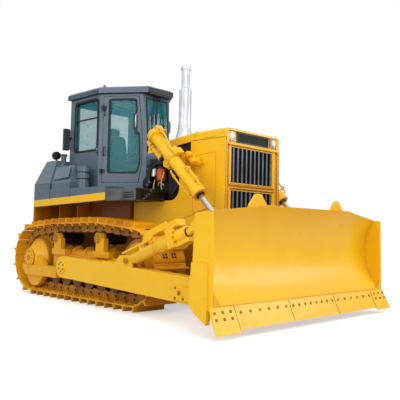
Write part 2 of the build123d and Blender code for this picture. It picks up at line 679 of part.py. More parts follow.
# ============================================================================================
# Hull and engine
# ============================================================================================
HULL_LOW = CLEARANCE + BELLY_THICK
RAIL_FACE = HULL_HALF - RAIL_WIDTH                 # inner faces of the main frame's rails
CASE_UP = FENDER_TOP[0] - FENDER_DEEP

with BuildPart() as main_frame:
    side_plate(((HULL_REAR, HULL_LOW + HULL_CUT / 2), (HULL_REAR + HULL_CUT, HULL_LOW), (CASE_FRONT, HULL_LOW),
                (CASE_FRONT, CASE_TOP), (HULL_REAR, CASE_TOP)), -HULL_HALF, HULL_HALF)
    block(FENDER_REAR + CASE_INSET, CASE_FRONT, -HULL_HALF, HULL_HALF, CASE_TOP, CASE_UP)
    for _, s in SIDES:
        block(CASE_FRONT, HULL_FRONT, s * RAIL_FACE, s * HULL_HALF, HULL_LOW, RAIL_TOP)
    block(HULL_FRONT - CROSS_THICK, HULL_FRONT, -RAIL_FACE, RAIL_FACE, HULL_LOW, RAIL_TOP)
    side_plate(((HULL_REAR + 1.5 * HULL_CUT, CLEARANCE), (HULL_FRONT - 1.5 * HULL_CUT, CLEARANCE),
                (HULL_FRONT, CLEARANCE + NOSE_RISE), (HULL_FRONT, HULL_LOW), (HULL_REAR + HULL_CUT, HULL_LOW)),
               -HULL_HALF, HULL_HALF)
    bar_x, bar_z, bar_r = PIVOT_BAR
    x0, x1, z0, z1 = EQUALIZER
    for _, s in SIDES:
        block(x0, x1, s * HULL_HALF, s * (TRACK_Y - GUARD_Y), z0, z1)
        drum(bar_x, bar_z, bar_r, s * HULL_HALF, s * (TRACK_Y - GUARD_Y))
keep(main_frame, "main_frame")

HITCH_PIN = HULL_REAR - HITCH_REACH
with BuildPart() as drawbar:
    half, z0, z1, thick = HITCH_FACE
    face = HULL_REAR - thick
    nose = HITCH_PIN - HITCH_NOSE
    low, high = HITCH_Z
    block(face, HULL_REAR, -half, half, z0, z1)
    for plate in (low, high - HITCH_PLATE):
        deck(((face, -HITCH_HALF[0]), (nose, -HITCH_HALF[1]), (nose, HITCH_HALF[1]), (face, HITCH_HALF[0])),
             plate, plate + HITCH_PLATE)
    block(face - HITCH_HALF[1], face, -HITCH_HALF[1], HITCH_HALF[1], low + HITCH_PLATE, high - HITCH_PLATE)
    post(HITCH_PIN, 0, HITCH_BORE, low, high, mode=Mode.SUBTRACT)
keep(drawbar, "drawbar")

with BuildPart() as engine:
    low = HULL_LOW + ENGINE_UP
    block(ENGINE_REAR, GUARD_REAR - FAN_SPACE, -ENGINE_HALF, ENGINE_HALF, low, ENGINE_TOP)
    block(CASE_FRONT, ENGINE_REAR, -ENGINE_HALF, ENGINE_HALF, low, RAIL_TOP)
    for _, s in SIDES:
        for x in ENGINE_FEET:
            block(x, x + FOOT_LONG, s * ENGINE_HALF, s * (HULL_HALF - SHEET), RAIL_TOP, RAIL_TOP + FOOT_HIGH)
keep(engine, "engine")

# ============================================================================================
# Radiator guard, hood and side covers
# ============================================================================================
HOOD_SEAM = HOOD_TOP - HOOD_FLANGE - SEAM
HOOD_SLOPE = (HOOD_TOP - HOOD_REAR[1]) / (HOOD_BEND - HOOD_REAR[0])
COVER_CORNER = RAIL_TOP + CORNER_UP
FACE_REAR = GUARD_FACE - FACE_THICK

with BuildPart() as radiator_guard:
    for _, s in SIDES:
        side_plate(((GUARD_REAR, HOOD_SEAM - HOOD_SLOPE * (HOOD_BEND - GUARD_REAR)), (GUARD_REAR, COVER_CORNER),
                    (HULL_FRONT - GUARD_TOE, GUARD_LOW), (GUARD_FRONT, GUARD_LOW), (GUARD_FRONT, LAMP_LOW),
                    (GUARD_FRONT - GUARD_LEAN, HOOD_SEAM), (HOOD_BEND, HOOD_SEAM)),
                   s * (GUARD_HALF - SHEET), s * GUARD_HALF)
        block(FACE_REAR, GUARD_FACE, s * GRILLE_HALF, s * (GUARD_HALF - SHEET), GUARD_LOW, LAMP_LOW)
        block(GUARD_FACE, GUARD_FRONT, s * (GUARD_HALF - GUARD_LIP), s * (GUARD_HALF - SHEET), GUARD_LOW,
              LAMP_LOW)
    (_, lower, lower_top), (_, upper, upper_top) = GRILLES[1], GRILLES[0]
    for z0, z1 in ((GUARD_LOW, lower), (lower_top, upper), (upper_top, LAMP_LOW)):
        block(FACE_REAR, GUARD_FACE, -GRILLE_HALF, GRILLE_HALF, z0, z1)
    for _, z0, z1 in GRILLES:
        for low, high in ((z0 - TRIM, z0), (z1, z1 + TRIM)):
            block(GUARD_FACE, GUARD_FACE + TRIM, -GRILLE_HALF - TRIM, GRILLE_HALF + TRIM, low, high)
        for _, s in SIDES:
            block(GUARD_FACE, GUARD_FACE + TRIM, s * GRILLE_HALF, s * (GRILLE_HALF + TRIM), z0, z1)
keep(radiator_guard, "radiator_guard")

with BuildPart() as radiator:
    block(GUARD_REAR + CORE[0], GUARD_FACE - CORE[1], -GUARD_HALF + SHEET, GUARD_HALF - SHEET,
          GUARD_LOW + CORE_UP, LAMP_LOW - CORE_DOWN)
keep(radiator, "radiator")

with BuildPart() as grilles:
    front = GUARD_FACE - GRILLE_SET
    rear = FACE_REAR + GRILLE_SET
    for _, low, high in GRILLES:
        for z0, z1 in ((low, low + BAR / 2), (high - BAR / 2, high)):
            block(rear, front, -GRILLE_HALF, GRILLE_HALF, z0, z1)
        for i in range(GRILLE_BARS):
            y = (GRILLE_HALF - BAR / 2) * (2 * i / (GRILLE_BARS - 1) - 1)
            block(rear, front, y - BAR / 2, y + BAR / 2, low, high)
keep(grilles, "grilles")

with BuildPart() as hood:
    seam = HOOD_TOP - HOOD_FLANGE
    low = LAMP_LOW + HOOD_SILL
    under = HOOD_TOP - SHEET
    inner = GUARD_HALF - SHEET
    for x, drop in ((GUARD_FRONT, 0), (HOOD_REAR[0], HOOD_TOP - HOOD_REAR[1])):
        with BuildSketch(Plane.YZ.offset(HOOD_BEND)) as section:
            with BuildLine():
                Polyline((-GUARD_HALF, seam), (-GUARD_HALF, HOOD_TOP - HOOD_ROUND), (HOOD_ROUND - GUARD_HALF, HOOD_TOP),
                         (GUARD_HALF - HOOD_ROUND, HOOD_TOP), (GUARD_HALF, HOOD_TOP - HOOD_ROUND), (GUARD_HALF, seam),
                         (inner, seam), (inner, under), (-inner, under), (-inner, seam), close=True)
            make_face()
        extrude(section.sketch, amount=hypot(x - HOOD_BEND, drop), dir=(x - HOOD_BEND, 0, -drop))
    block(GUARD_FACE - SHEET, GUARD_FACE, -inner, inner, low, under)
    block(GUARD_FACE - SHEET, GUARD_FRONT, -inner, inner, LAMP_LOW, low)
    for _, s in SIDES:
        block(GUARD_FACE, GUARD_FRONT, s * (inner - GUARD_LIP), s * inner, low, under)
keep(hood, "hood")

with BuildPart() as headlamps:
    for _, s in SIDES:
        peg(GUARD_FACE, GUARD_FACE + LAMP_DEEP, s * LAMP_Y, LAMP_LOW + LAMP_UP, LAMP_R)
        x, y, z, r = WORK_LAMP
        peg(x - LAMP_DEEP, x + LAMP_DEEP, s * y, z, r)
        post(x, s * y, LAMP_STALK, TANK_TOP, z)
keep(headlamps, "headlamps")

with BuildPart() as exhaust:
    for low, high, r in EXHAUST_BANDS:
        post(EXHAUST_X, 0, r, low, high)
    r, low, high = EXHAUST_FOOT
    post(EXHAUST_X, 0, r, HOOD_REAR[1], low)
    with Locations((EXHAUST_X, 0, (low + high) / 2)):
        Cone(r, EXHAUST_BANDS[0][2], high - low)
    side_plate([(x, HOOD_REAR[1] + HOOD_SLOPE * (x - HOOD_REAR[0]) - drop) for x, drop in
                ((EXHAUST_X - 2 * r, 0), (EXHAUST_X + 2 * r, 0), (EXHAUST_X + 2 * r, 2 * r), (EXHAUST_X - 2 * r, 2 * r))],
               -2 * r, 2 * r, mode=Mode.SUBTRACT)
keep(exhaust, "exhaust")

with BuildPart() as side_covers:
    for _, s in SIDES:
        with BuildSketch(Plane.XZ.offset(-max(s * (GUARD_HALF - SHEET), s * GUARD_HALF))) as face:
            with BuildLine():
                Polyline((GUARD_REAR, BAY_TOP[1]), (GUARD_REAR, COVER_CORNER), (COVER_REAR, COVER_LOW),
                         (COVER_REAR, COVER_TOP), (BAY_FRONT - BAY_ROUND, COVER_TOP))
                bend = TangentArc((BAY_FRONT - BAY_ROUND, COVER_TOP), (BAY_FRONT, COVER_TOP + BAY_ROUND),
                                  tangent=(1, 0))
                Polyline(bend @ 1, (BAY_FRONT, BAY_TOP[0]), (GUARD_REAR, BAY_TOP[1]))
            make_face()
        extrude(face.sketch, amount=SHEET)
        for x in COVER_STAYS:
            block(x - STAY, x + STAY, s * HULL_HALF, s * (GUARD_HALF - SHEET), STAY_Z[0], STAY_Z[1])
            block(x - STAY, x + STAY, s * (HULL_HALF - STAY), s * HULL_HALF, RAIL_TOP, STAY_Z[1])
keep(side_covers, "side_covers")

# ============================================================================================
# Fenders, steps and tanks
# ============================================================================================
def fender_top(x):
    """Height of the fender's top over its sloping run."""
    share = (x - FENDER_REAR) / (FENDER_FRONT - FENDER_REAR)
    return FENDER_TOP[0] + share * (FENDER_TOP[1] - FENDER_TOP[0])


def trim_to_fender(x0, x1):
    """Cut away what lies below the sloping top of the fenders."""
    side_plate(((x0, fender_top(x0)), (x1, fender_top(x1)), (x1, CASE_UP), (x0, CASE_UP)),
               -FENDER_OUT - GAP, FENDER_OUT + GAP, mode=Mode.SUBTRACT)


with BuildPart() as fenders:
    for _, s in SIDES:
        for drop, y0, y1 in ((FENDER_DEEP, FENDER_OUT - SHEET, FENDER_OUT), (SHEET, HULL_HALF, FENDER_OUT - SHEET)):
            side_plate(((FENDER_REAR, FENDER_TOP[0]), (FENDER_FRONT, FENDER_TOP[1]),
                        (FENDER_FRONT, FENDER_TOP[1] - drop), (FENDER_REAR, FENDER_TOP[0] - drop)), s * y0, s * y1)
        for x0, x1 in PANELS:
            with BuildSketch(Plane.XZ.offset(-max(s * HULL_HALF, s * PANEL_Y))) as face:
                with BuildLine():
                    high = (fender_top(x0) - SHEET / 2, fender_top(x1) - SHEET / 2)
                    Polyline((x0, high[0]), (x0, PANEL_LOW), (x1, PANEL_LOW), (x1, high[1] - PANEL_ROUND))
                    bend = TangentArc((x1, high[1] - PANEL_ROUND), (x1 - PANEL_ROUND, high[1]), tangent=(0, 1))
                    Line(bend @ 1, (x0, high[0]))
                make_face()
            extrude(face.sketch, amount=PANEL_Y - HULL_HALF)
keep(fenders, "fenders")

with BuildPart() as step_boxes:
    for _, s in SIDES:
        block(FENDER_FRONT, STEP_FRONT, s * GUARD_HALF, s * FENDER_OUT, STEP_LOW, STEP_TOP)
        for z in STEP_GROOVES:
            block(STEP_FRONT - GROOVE[1], STEP_FRONT - GROOVE[0], s * (FENDER_OUT - GROOVE_DEEP),
                  s * (FENDER_OUT + GAP), z, z + GROOVE_HIGH, mode=Mode.SUBTRACT)
keep(step_boxes, "step_boxes")

TANK_FOOT = FENDER_TOP[0] - SHEET
with BuildPart() as fuel_tank:
    front_plate(((-FENDER_OUT, TANK_FOOT), (-FENDER_OUT, TANK_SHOULDER), (-TANK_IN, TANK_TOP), (TANK_IN, TANK_TOP),
                 (FENDER_OUT, TANK_SHOULDER), (FENDER_OUT, TANK_FOOT)), FENDER_REAR, TANK_FRONT[0])
    block(CAB_REAR[0] - CAB_GAP, TANK_FRONT[0] + GAP, -SIDE_TANK_IN, SIDE_TANK_IN, TANK_FOOT, TANK_TOP + GAP,
          mode=Mode.SUBTRACT)
    side_plate(((TANK_FRONT[0], TANK_SHOULDER), (TANK_FRONT[1], TANK_TOP), (TANK_FRONT[1], TANK_TOP + GAP),
                (TANK_FRONT[0] + GAP, TANK_TOP + GAP), (TANK_FRONT[0] + GAP, TANK_SHOULDER)),
               -FENDER_OUT, FENDER_OUT, mode=Mode.SUBTRACT)
    trim_to_fender(FENDER_REAR, FENDER_FRONT)
    x, y, r, top = FILLER
    slope = (TANK_TOP - TANK_SHOULDER) / (TANK_FRONT[0] - TANK_FRONT[1])
    post(x, -y, r, TANK_SHOULDER + slope * (TANK_FRONT[0] - x - r) - GAP, top)
    post(x, -y, r + FILLER_CAP, top - FILLER_CAP, top)
keep(fuel_tank, "fuel_tank")

with BuildPart() as side_tanks:
    rise = TANK_SHOULDER + SIDE_TANK_RISE
    ledge = CAB_FLOOR - FLOOR_THICK
    rear, front = SIDE_TANK
    lean = TANK_LEAN / (rise - TANK_SHOULDER)
    for _, s in SIDES:
        front_plate(((s * SIDE_TANK_IN, TANK_FOOT), (s * FENDER_OUT, TANK_FOOT), (s * FENDER_OUT, TANK_SHOULDER),
                     (s * SIDE_TANK_TOP_Y, rise), (s * SIDE_TANK_IN, rise)), rear - TANK_LEAN, front)
    for x, past in ((rear, rear - 2 * TANK_LEAN), (front, front + GAP)):
        side_plate(((x, TANK_FOOT - GAP), (x, TANK_SHOULDER), (x - TANK_LEAN, rise), (x - TANK_LEAN, rise + GAP),
                    (past, rise + GAP), (past, TANK_FOOT - GAP)), -FENDER_OUT, FENDER_OUT, mode=Mode.SUBTRACT)
    for _, s in SIDES:
        block(TANK_FRONT[0] + GAP, FENDER_FRONT, s * SIDE_TANK_IN, s * FENDER_OUT, TANK_FOOT, ledge)
        x, y, r, top = CANISTER
        post(x, s * y, r, ledge - GAP, top)
    trim_to_fender(FENDER_REAR, FENDER_FRONT)
keep(side_tanks, "side_tanks")

# ============================================================================================
# Cab
# ============================================================================================
def cab_plan(inset):
    """The cab's six-cornered plan, drawn in by this much."""
    (xr, yr), (xm, ym), (xf, yf) = CAB_REAR, CAB_MID, CAB_FRONT
    slope = atan2(ym - yf, xf - xm)
    ring = [(xr + inset, yr - inset), (xm - inset * sin(slope / 2), ym - inset),
            (xf - inset, yf - inset / cos(slope) + inset * sin(slope) / cos(slope))]
    return ring + [(x, -y) for x, y in reversed(ring)]


DOOR_TURN = atan2(CAB_MID[1] - CAB_FRONT[1], CAB_FRONT[0] - CAB_MID[0])


def door_plane(s):
    """X along the slanted wall from the middle post, Z outward, for one side."""
    way = Vector(cos(DOOR_TURN), -s * sin(DOOR_TURN), 0)
    out = Vector(sin(DOOR_TURN), s * cos(DOOR_TURN), 0)
    return Plane(origin=(CAB_MID[0], s * CAB_MID[1], 0), x_dir=way, z_dir=out)


def door_sheet(s, outline, low, high, mode=Mode.ADD, corner=0.0):
    """An outline in the slanted wall, from pairs of distance along it and height, low to high outward."""
    plane = door_plane(s)
    up = 1 if plane.y_dir.Z > 0 else -1
    with BuildSketch(plane.offset(low)) as face:
        with BuildLine():
            Polyline(*((u, up * z) for u, z in outline), close=True)
        make_face()
        if corner > 0:
            fillet(face.vertices(), corner)
    extrude(face.sketch, amount=high - low, mode=mode)


def door_slab(s, u0, u1, z0, z1, low, high, mode=Mode.ADD):
    """A slab in the slanted wall: u along it, z up, low and high measured outward."""
    door_sheet(s, ((u0, z0), (u1, z0), (u1, z1), (u0, z1)), low, high, mode=mode)


def door_leaf(inset):
    """The doorway's outline, drawn in by this much at the rear and LATCH_GAP more at the front."""
    u0, u1 = DOOR_SPAN[0] + inset, DOOR_SPAN[1] - inset * LATCH_GAP / GAP
    z0, z1 = DOOR_Z[0] + inset, DOOR_Z[1] - inset
    return ((u0, z0), (u1 - DOOR_FOOT, z0), (u1, z0 + DOOR_BEND), (u1, LEAN_Z), (u1 - DOOR_LEAN, z1), (u0, z1))


def lean_front(inset, mode=Mode.SUBTRACT):
    """The wedge in front of the cab's leaning upper face, moved back by this much."""
    x = CAB_FRONT[0] - inset
    side_plate(((x, LEAN_Z), (x - FRONT_LEAN, CAB_TOP), (x - FRONT_LEAN, CAB_TOP + GAP),
                (x + inset + GAP, CAB_TOP + GAP), (x + inset + GAP, LEAN_Z)), -CAB_REAR[1], CAB_REAR[1], mode=mode)


def hinge_drum(s, r, z0, z1, mode=Mode.ADD):
    """A vertical cylinder on a door's hinge line."""
    spot = door_plane(s).from_local_coords(Vector(HINGE_U, 0, HINGE_OUT))
    post(spot.X, spot.Y, r, z0, z1, mode=mode)


WINDOW = ((DOOR_SPAN[0] + WINDOW_EDGE, WINDOW_Z[0]), (WINDOW_U[1], WINDOW_Z[0]),
                        (WINDOW_U[2], WINDOW_Z[0] + DOOR_BEND / 2), (WINDOW_U[2] - NOTCH_IN, NOTCH[1] - NOTCH_REACH),
                        (NOTCH[0], NOTCH[1]), (NOTCH[0], NOTCH[2]), (WINDOW_U[0] + NOTCH_IN, NOTCH[2] + NOTCH_REACH),
                        (WINDOW_U[0], WINDOW_Z[1]), (DOOR_SPAN[0] + WINDOW_EDGE, WINDOW_Z[1]))

with BuildPart() as cab_frame:
    deck(cab_plan(0), CAB_FLOOR, CAB_TOP)
    lean_front(0)
    with BuildPart(mode=Mode.PRIVATE) as room:
        deck(cab_plan(CAB_WALL), CAB_FLOOR, CAB_TOP)
        lean_front(CAB_WALL)
    add(room.part, mode=Mode.SUBTRACT)
    x0, x1, z0, z1 = REAR_WINDOW
    block(x0, x1, -CAB_REAR[1] - GAP, CAB_REAR[1] + GAP, z0, z1, mode=Mode.SUBTRACT)
    half, z0, z1 = FRONT_WINDOW
    block(CAB_FRONT[0] - FRONT_LEAN - 1.5 * CAB_WALL, CAB_FRONT[0] + GAP, -half, half, z0, z1, mode=Mode.SUBTRACT)
    half, z0, z1 = BACK_WINDOW
    block(CAB_REAR[0] - GAP, CAB_REAR[0] + CAB_WALL + GAP, -half, half, z0, z1, mode=Mode.SUBTRACT)
    for _, s in SIDES:
        door_sheet(s, door_leaf(0), -2 * CAB_WALL, GAP, mode=Mode.SUBTRACT)
        for z in HINGE_Z:
            low = z - HINGE_HALF - HINGE_SEAT
            hinge_drum(s, HINGE_PIN, low, z + HINGE_HALF + HINGE_SEAT)
            hinge_drum(s, HINGE_R, low, z - HINGE_HALF - RUN)
            door_slab(s, HINGE_U - HINGE_LEAF, HINGE_U, low, z - HINGE_HALF - RUN, 0, HINGE_OUT)
keep(cab_frame, "cab_frame")

with BuildPart() as cab_floor:
    deck(cab_plan(0), CAB_FLOOR - FLOOR_THICK, CAB_FLOOR)
    block(CAB_REAR[0] + FLOOR_INSET, CAB_FRONT[0] - FLOOR_INSET, -FLOOR_FOOT, FLOOR_FOOT, FENDER_TOP[0],
          CAB_FLOOR - FLOOR_THICK)
    trim_to_fender(FENDER_REAR, FENDER_FRONT)
keep(cab_floor, "cab_floor")

with BuildPart() as cab_roof:
    deck(cab_plan(-ROOF_LAP), CAB_TOP, CAB_TOP + ROOF_THICK)
    chamfer(cab_roof.faces().sort_by(Axis.Z)[-1].edges(), ROOF_CHAMFER)
    post(*BEACON[:2], BEACON[2], CAB_TOP + ROOF_THICK, CAB_TOP + ROOF_THICK + BEACON[3])
keep(cab_roof, "cab_roof")

with BuildPart() as cab_glass:
    x0, x1, z0, z1 = REAR_WINDOW
    for _, s in SIDES:
        pane = s * (CAB_MID[1] - CAB_WALL / 2)
        block(x0, x1, pane, pane - s * GLASS, z0, z1)
    half, z0, z1 = FRONT_WINDOW
    x = CAB_FRONT[0] - CAB_WALL / 2
    lean = FRONT_LEAN / (CAB_TOP - LEAN_Z)
    side_plate(((x, z0), (x, LEAN_Z), (x - lean * (z1 - LEAN_Z), z1), (x - lean * (z1 - LEAN_Z) - GLASS, z1),
                (x - GLASS, LEAN_Z), (x - GLASS, z0)), -half, half)
    half, z0, z1 = BACK_WINDOW
    block(CAB_REAR[0] + CAB_WALL / 2, CAB_REAR[0] + CAB_WALL / 2 + GLASS, -half, half, z0, z1)
keep(cab_glass, "cab_glass")

with BuildPart() as seat:
    x0, x1, half, low, thick = CUSHION
    rest_top, rest_lean, rest_thick = BACKREST
    block(x0, x1, -half, half, CAB_FLOOR + low, CAB_FLOOR + low + thick)
    side_plate(((x0, CAB_FLOOR + low + thick), (x0 + rest_thick, CAB_FLOOR + low + thick),
                (x0 + rest_thick - rest_lean, CAB_FLOOR + rest_top), (x0 - rest_lean, CAB_FLOOR + rest_top)),
               -half + REST_INSET, half - REST_INSET)
    block(x0 + rest_lean, x1 - rest_lean, -half + STAND_INSET, half - STAND_INSET, CAB_FLOOR, CAB_FLOOR + low)
keep(seat, "seat")

with BuildPart() as controls:
    x0, x1, y0, y1, high = CONSOLE
    for _, s in SIDES:
        block(x0, x1, s * y0, s * y1, CAB_FLOOR, CAB_FLOOR + high)
        post(x1 - LEVER_BACK, s * (y0 + y1) / 2, LEVER_R, CAB_FLOOR + high, CAB_FLOOR + high + LEVER)
    x0, x1, half, high = DASH
    block(x0, x1, -half, half, CAB_FLOOR, CAB_FLOOR + high)
keep(controls, "controls")

for name, s in SIDES:
    low = DOOR_SPAN[0] + GAP
    with BuildPart() as door:
        door_sheet(s, door_leaf(GAP), -DOOR_THICK, 0)
        door_sheet(s, WINDOW, -DOOR_THICK - GAP, GAP, mode=Mode.SUBTRACT, corner=WINDOW_ROUND)
        door_slab(s, HANDLE[0] - HANDLE[1], HANDLE[0] + HANDLE[1], HANDLE[2], HANDLE[3], 0, HANDLE[4])
        for z in HINGE_Z:
            door_slab(s, HINGE_U, low + HINGE_LEAF, z - HINGE_HALF, z + HINGE_HALF, GAP, HINGE_R)
            door_slab(s, low + LEAF_START, low + HINGE_LEAF, z - HINGE_HALF, z + HINGE_HALF, 0, HINGE_R)
            hinge_drum(s, HINGE_R + LEAF_RELIEF, z - HINGE_HALF, z + HINGE_HALF)
            hinge_drum(s, HINGE_PIN + BORE_PLAY, z - HINGE_HALF, z + HINGE_HALF, mode=Mode.SUBTRACT)
    keep(door, f"door_{name}")
    with BuildPart() as door_glass:
        door_sheet(s, WINDOW, -DOOR_THICK / 2 - GLASS, -DOOR_THICK / 2, corner=WINDOW_ROUND)
    keep(door_glass, f"door_glass_{name}")

with BuildPart() as mirrors:
    z0, z1 = MIRROR
    near, far = CAB_REAR[1] + MIRROR_ARM, CAB_REAR[1] + MIRROR_ARM + MIRROR_WIDE
    for _, s in SIDES:
        block(CAB_REAR[0] - MIRROR_REAR, CAB_REAR[0] + MIRROR_FRONT, s * near, s * far, z0, z1)
        block(CAB_REAR[0] - STALK[0], CAB_REAR[0] + STALK[1], s * CAB_REAR[1], s * near,
              (z0 + z1) / 2 - STALK_HALF, (z0 + z1) / 2 + STALK_HALF)
keep(mirrors, "mirrors")

# ============================================================================================
# Blade with its arms and braces
# ============================================================================================
def edge_plate(y0, y1, drop):
    """A flat wear plate down the blade's lower front, in the plane from JOINT to TIP."""
    low = (TIP[0] + EDGE_WAY[0] * drop, TIP[1] + EDGE_WAY[1] * drop)
    side_plate((JOINT, low, (low[0] + EDGE_BACK[0] * 0.3, low[1] + EDGE_BACK[1] * 0.3 + BEVEL_RISE),
                (JOINT[0] + EDGE_BACK[0], JOINT[1] + EDGE_BACK[1])), y0, y1)


def circle_through(a, b, c):
    """Centre and radius of the X-Z circle through three points."""
    spans = [p[0] ** 2 + p[1] ** 2 for p in (a, b, c)]
    double = 2 * (a[0] * (b[1] - c[1]) + b[0] * (c[1] - a[1]) + c[0] * (a[1] - b[1]))
    x = (spans[0] * (b[1] - c[1]) + spans[1] * (c[1] - a[1]) + spans[2] * (a[1] - b[1])) / double
    z = (spans[0] * (c[0] - b[0]) + spans[1] * (a[0] - c[0]) + spans[2] * (b[0] - a[0])) / double
    return (x, z), hypot(a[0] - x, a[1] - z)


MOLD_CENTRE, MOLD_R = circle_through((BLADE_X, BLADE_TOP), MOLD_MID, JOINT)


def in_shell(z):
    """The X-Z point in the middle of the blade's curved shell at height z."""
    return (MOLD_CENTRE[0] - sqrt(MOLD_R ** 2 - (z - MOLD_CENTRE[1]) ** 2) - MOLD_THICK / 2, z)


BACK_X = MOLD_MID[0] - MOLD_THICK
LOW_REAR = (JOINT[0] - SKIN_END, JOINT[1] - 8)
REAR_TOP = (END_REAR[0], CORNER_TOP - END_DROP)
REAR_LOW = (END_REAR[1], JOINT[1] - 6)
INNER = BLADE_HALF - END_PLATE

with BuildPart() as blade:
    with BuildSketch(Plane.XZ.offset(-INNER)) as shell:
        with BuildLine():
            front = ThreePointArc((BLADE_X, BLADE_TOP), MOLD_MID, JOINT)
            rear = ThreePointArc((BLADE_X - SKIN_END, BLADE_TOP), (BACK_X, MOLD_MID[1]), LOW_REAR)
            Line(front @ 0, rear @ 0)
            Line(front @ 1, rear @ 1)
        make_face()
    extrude(shell.sketch, amount=2 * INNER)
    for s in (-1, 1):
        front_plate(((s * STRAIGHT_HALF, BLADE_TOP), (s * BLADE_HALF, CORNER_TOP), (s * BLADE_HALF, BLADE_TOP + 1),
                     (s * STRAIGHT_HALF, BLADE_TOP + 1)), BACK_X, BLADE_X + GAP, mode=Mode.SUBTRACT)
        side_plate((REAR_TOP, (BLADE_X, CORNER_TOP), JOINT, (JOINT[0] + EDGE_BACK[0], JOINT[1] + EDGE_BACK[1]),
                    SKID[0], SKID[1], SKID[2], REAR_LOW), s * INNER, s * BLADE_HALF)
        side_plate(((between(REAR_TOP, REAR_LOW, WEAR_TOP), WEAR_TOP),
                    (between((BLADE_X, CORNER_TOP), JOINT, WEAR_TOP) - WEAR_EDGE, WEAR_TOP),
                    (JOINT[0] - WEAR_EDGE, JOINT[1]), SKID[0], SKID[1], SKID[2], REAR_LOW),
                   s * BLADE_HALF, s * (BLADE_HALF + WEAR_THICK))
        front_plate([(s * (TAB_Y + y), z) for y, z in TAB], TAB_X, TAB_X + TAB_THICK)
    side_plate((in_shell(LOW_BEAM), (BEAM_X, LOW_BEAM), (BEAM_X, REAR_LOW[1]), (END_REAR[1] + FLOOR_REAR, SKID[2][1]),
                (JOINT[0] - FLOOR_FRONT, SKID[2][1]), LOW_REAR, in_shell(LOW_BEAM - 2 * SHELL_STEP), in_shell(LOW_BEAM - SHELL_STEP)),
               -INNER, INNER)
    side_plate(((TAB_X, CORNER_TOP), in_shell(CORNER_TOP), in_shell(CORNER_TOP - SHELL_STEP), in_shell(CORNER_TOP - 2 * SHELL_STEP),
                in_shell(HIGH_BEAM), (BEAM_X, HIGH_BEAM), (BEAM_X, BEAM_TOP)), -INNER, INNER)
    for s in (-1, 1):
        for y in RIB_Y:
            side_plate((in_shell(LOW_BEAM - GAP), (BEAM_X + RIB_THICK, LOW_BEAM - GAP),
                        (BEAM_X + RIB_THICK, HIGH_BEAM + GAP), in_shell(HIGH_BEAM + GAP), in_shell(MOLD_MID[1])),
                       s * y, s * (y + RIB_THICK))
        for side in (-1, 1):
            face = s * LIFT_Y + side * (EYE_HALF + GAP)
            x, z = LIFT_EYE
            side_plate((in_shell(z - EAR_ROOT[0]), in_shell(z), in_shell(z + EAR_ROOT[1]), (x, z + EYE_R), (x, z - EYE_R)),
                       face, face + side * EAR)
            drum(x, z, EYE_R, face, face + side * EAR)
        x, z = BRACE_HEAD
        block(x, BEAM_X + SOCKET, s * (BRACE_Y - SOCKET), s * (BRACE_Y + SOCKET), z - SOCKET, z + SOCKET)
        drum(x, z, HEAD_BALL + RUN, s * (BRACE_Y - SOCKET - GAP), s * (BRACE_Y + SOCKET + GAP), mode=Mode.SUBTRACT)
keep(blade, "blade")

with BuildPart() as cutting_edges:
    reach = BIT_HALF - BIT_WIDTH
    third = 2 * reach / 3
    for i in range(3):
        edge_plate(-reach + i * third + EDGE_JOINT, -reach + (i + 1) * third - EDGE_JOINT, 0)
keep(cutting_edges, "cutting_edges")

with BuildPart() as end_bits:
    for s in (-1, 1):
        edge_plate(s * (BIT_HALF - BIT_WIDTH + EDGE_JOINT), s * BIT_HALF, BIT_DROP)
        front_plate(((s * (BIT_HALF - BIT_FLARE), JOINT[1] + GAP), (s * BIT_HALF, TIP[1]),
                     (s * (BIT_HALF + GAP), TIP[1]), (s * (BIT_HALF + GAP), JOINT[1] + GAP)),
                    BLADE_X, FOREMOST + EDGE_THICK, mode=Mode.SUBTRACT)
keep(end_bits, "end_bits")

for name, s in SIDES:
    rear, front = PIVOT[0], BEAM_X
    foot, shoulder, top = BRACKET_FOOT, BRACKET_SHOULDER, BRACKET_TOP
    with BuildPart() as arm:
        side_plate(((rear, PIVOT[1] - ARM_HALF_HEIGHT), (front, ARM_FRONT_Z - ARM_HALF_HEIGHT),
                    (front, ARM_FRONT_Z + ARM_HALF_HEIGHT), (rear, PIVOT[1] + ARM_HALF_HEIGHT)),
                   s * ARM_IN, s * ARM_OUT)
        drum(*PIVOT, ARM_HALF_HEIGHT, s * ARM_IN, s * ARM_OUT)
        drum(*PIVOT, PIVOT_R + BORE_PLAY, s * ARM_IN, s * ARM_OUT, mode=Mode.SUBTRACT)
        drum(*PIVOT, PIVOT_CAP, s * ARM_OUT, s * (ARM_OUT + CAP_STEP))
        for y0, y1 in ((BRACE_Y + TONGUE[0] - LUG, BRACE_Y + TONGUE[0]),
                       (BRACE_Y + TONGUE[1], BRACE_Y + TONGUE[1] + LUG)):
            side_plate(((foot[0], foot[1]), (foot[0] + BRACKET_RUN, foot[1] - BRACKET_DIP), (shoulder, top),
                        (BRACE_PIN[0] + BRACKET_FLAT, top), (BRACE_PIN[0] + BRACKET_NOSE, top - BRACKET_CUT),
                        (BRACE_PIN[0] + BRACKET_NOSE, foot[1] - BRACKET_DEEP),
                        (foot[0] + BRACKET_NOSE, foot[1] - BRACKET_DEEP)), s * y0, s * y1)
        side_plate(((CLEVIS_X, CLEVIS_Z[1]), (front, CLEVIS_Z[1] - CLEVIS_CUT[1]), (front, CLEVIS_Z[0]),
                    (CLEVIS_X, CLEVIS_Z[0] + CLEVIS_CUT[0])),
                   s * ARM_OUT, s * (ARM_OUT + CLEVIS_THICK))
    keep(arm, f"push_arm_{name}")

BRACE_LONG = hypot(BRACE_HEAD[0] - BRACE_PIN[0], BRACE_HEAD[1] - BRACE_PIN[1])


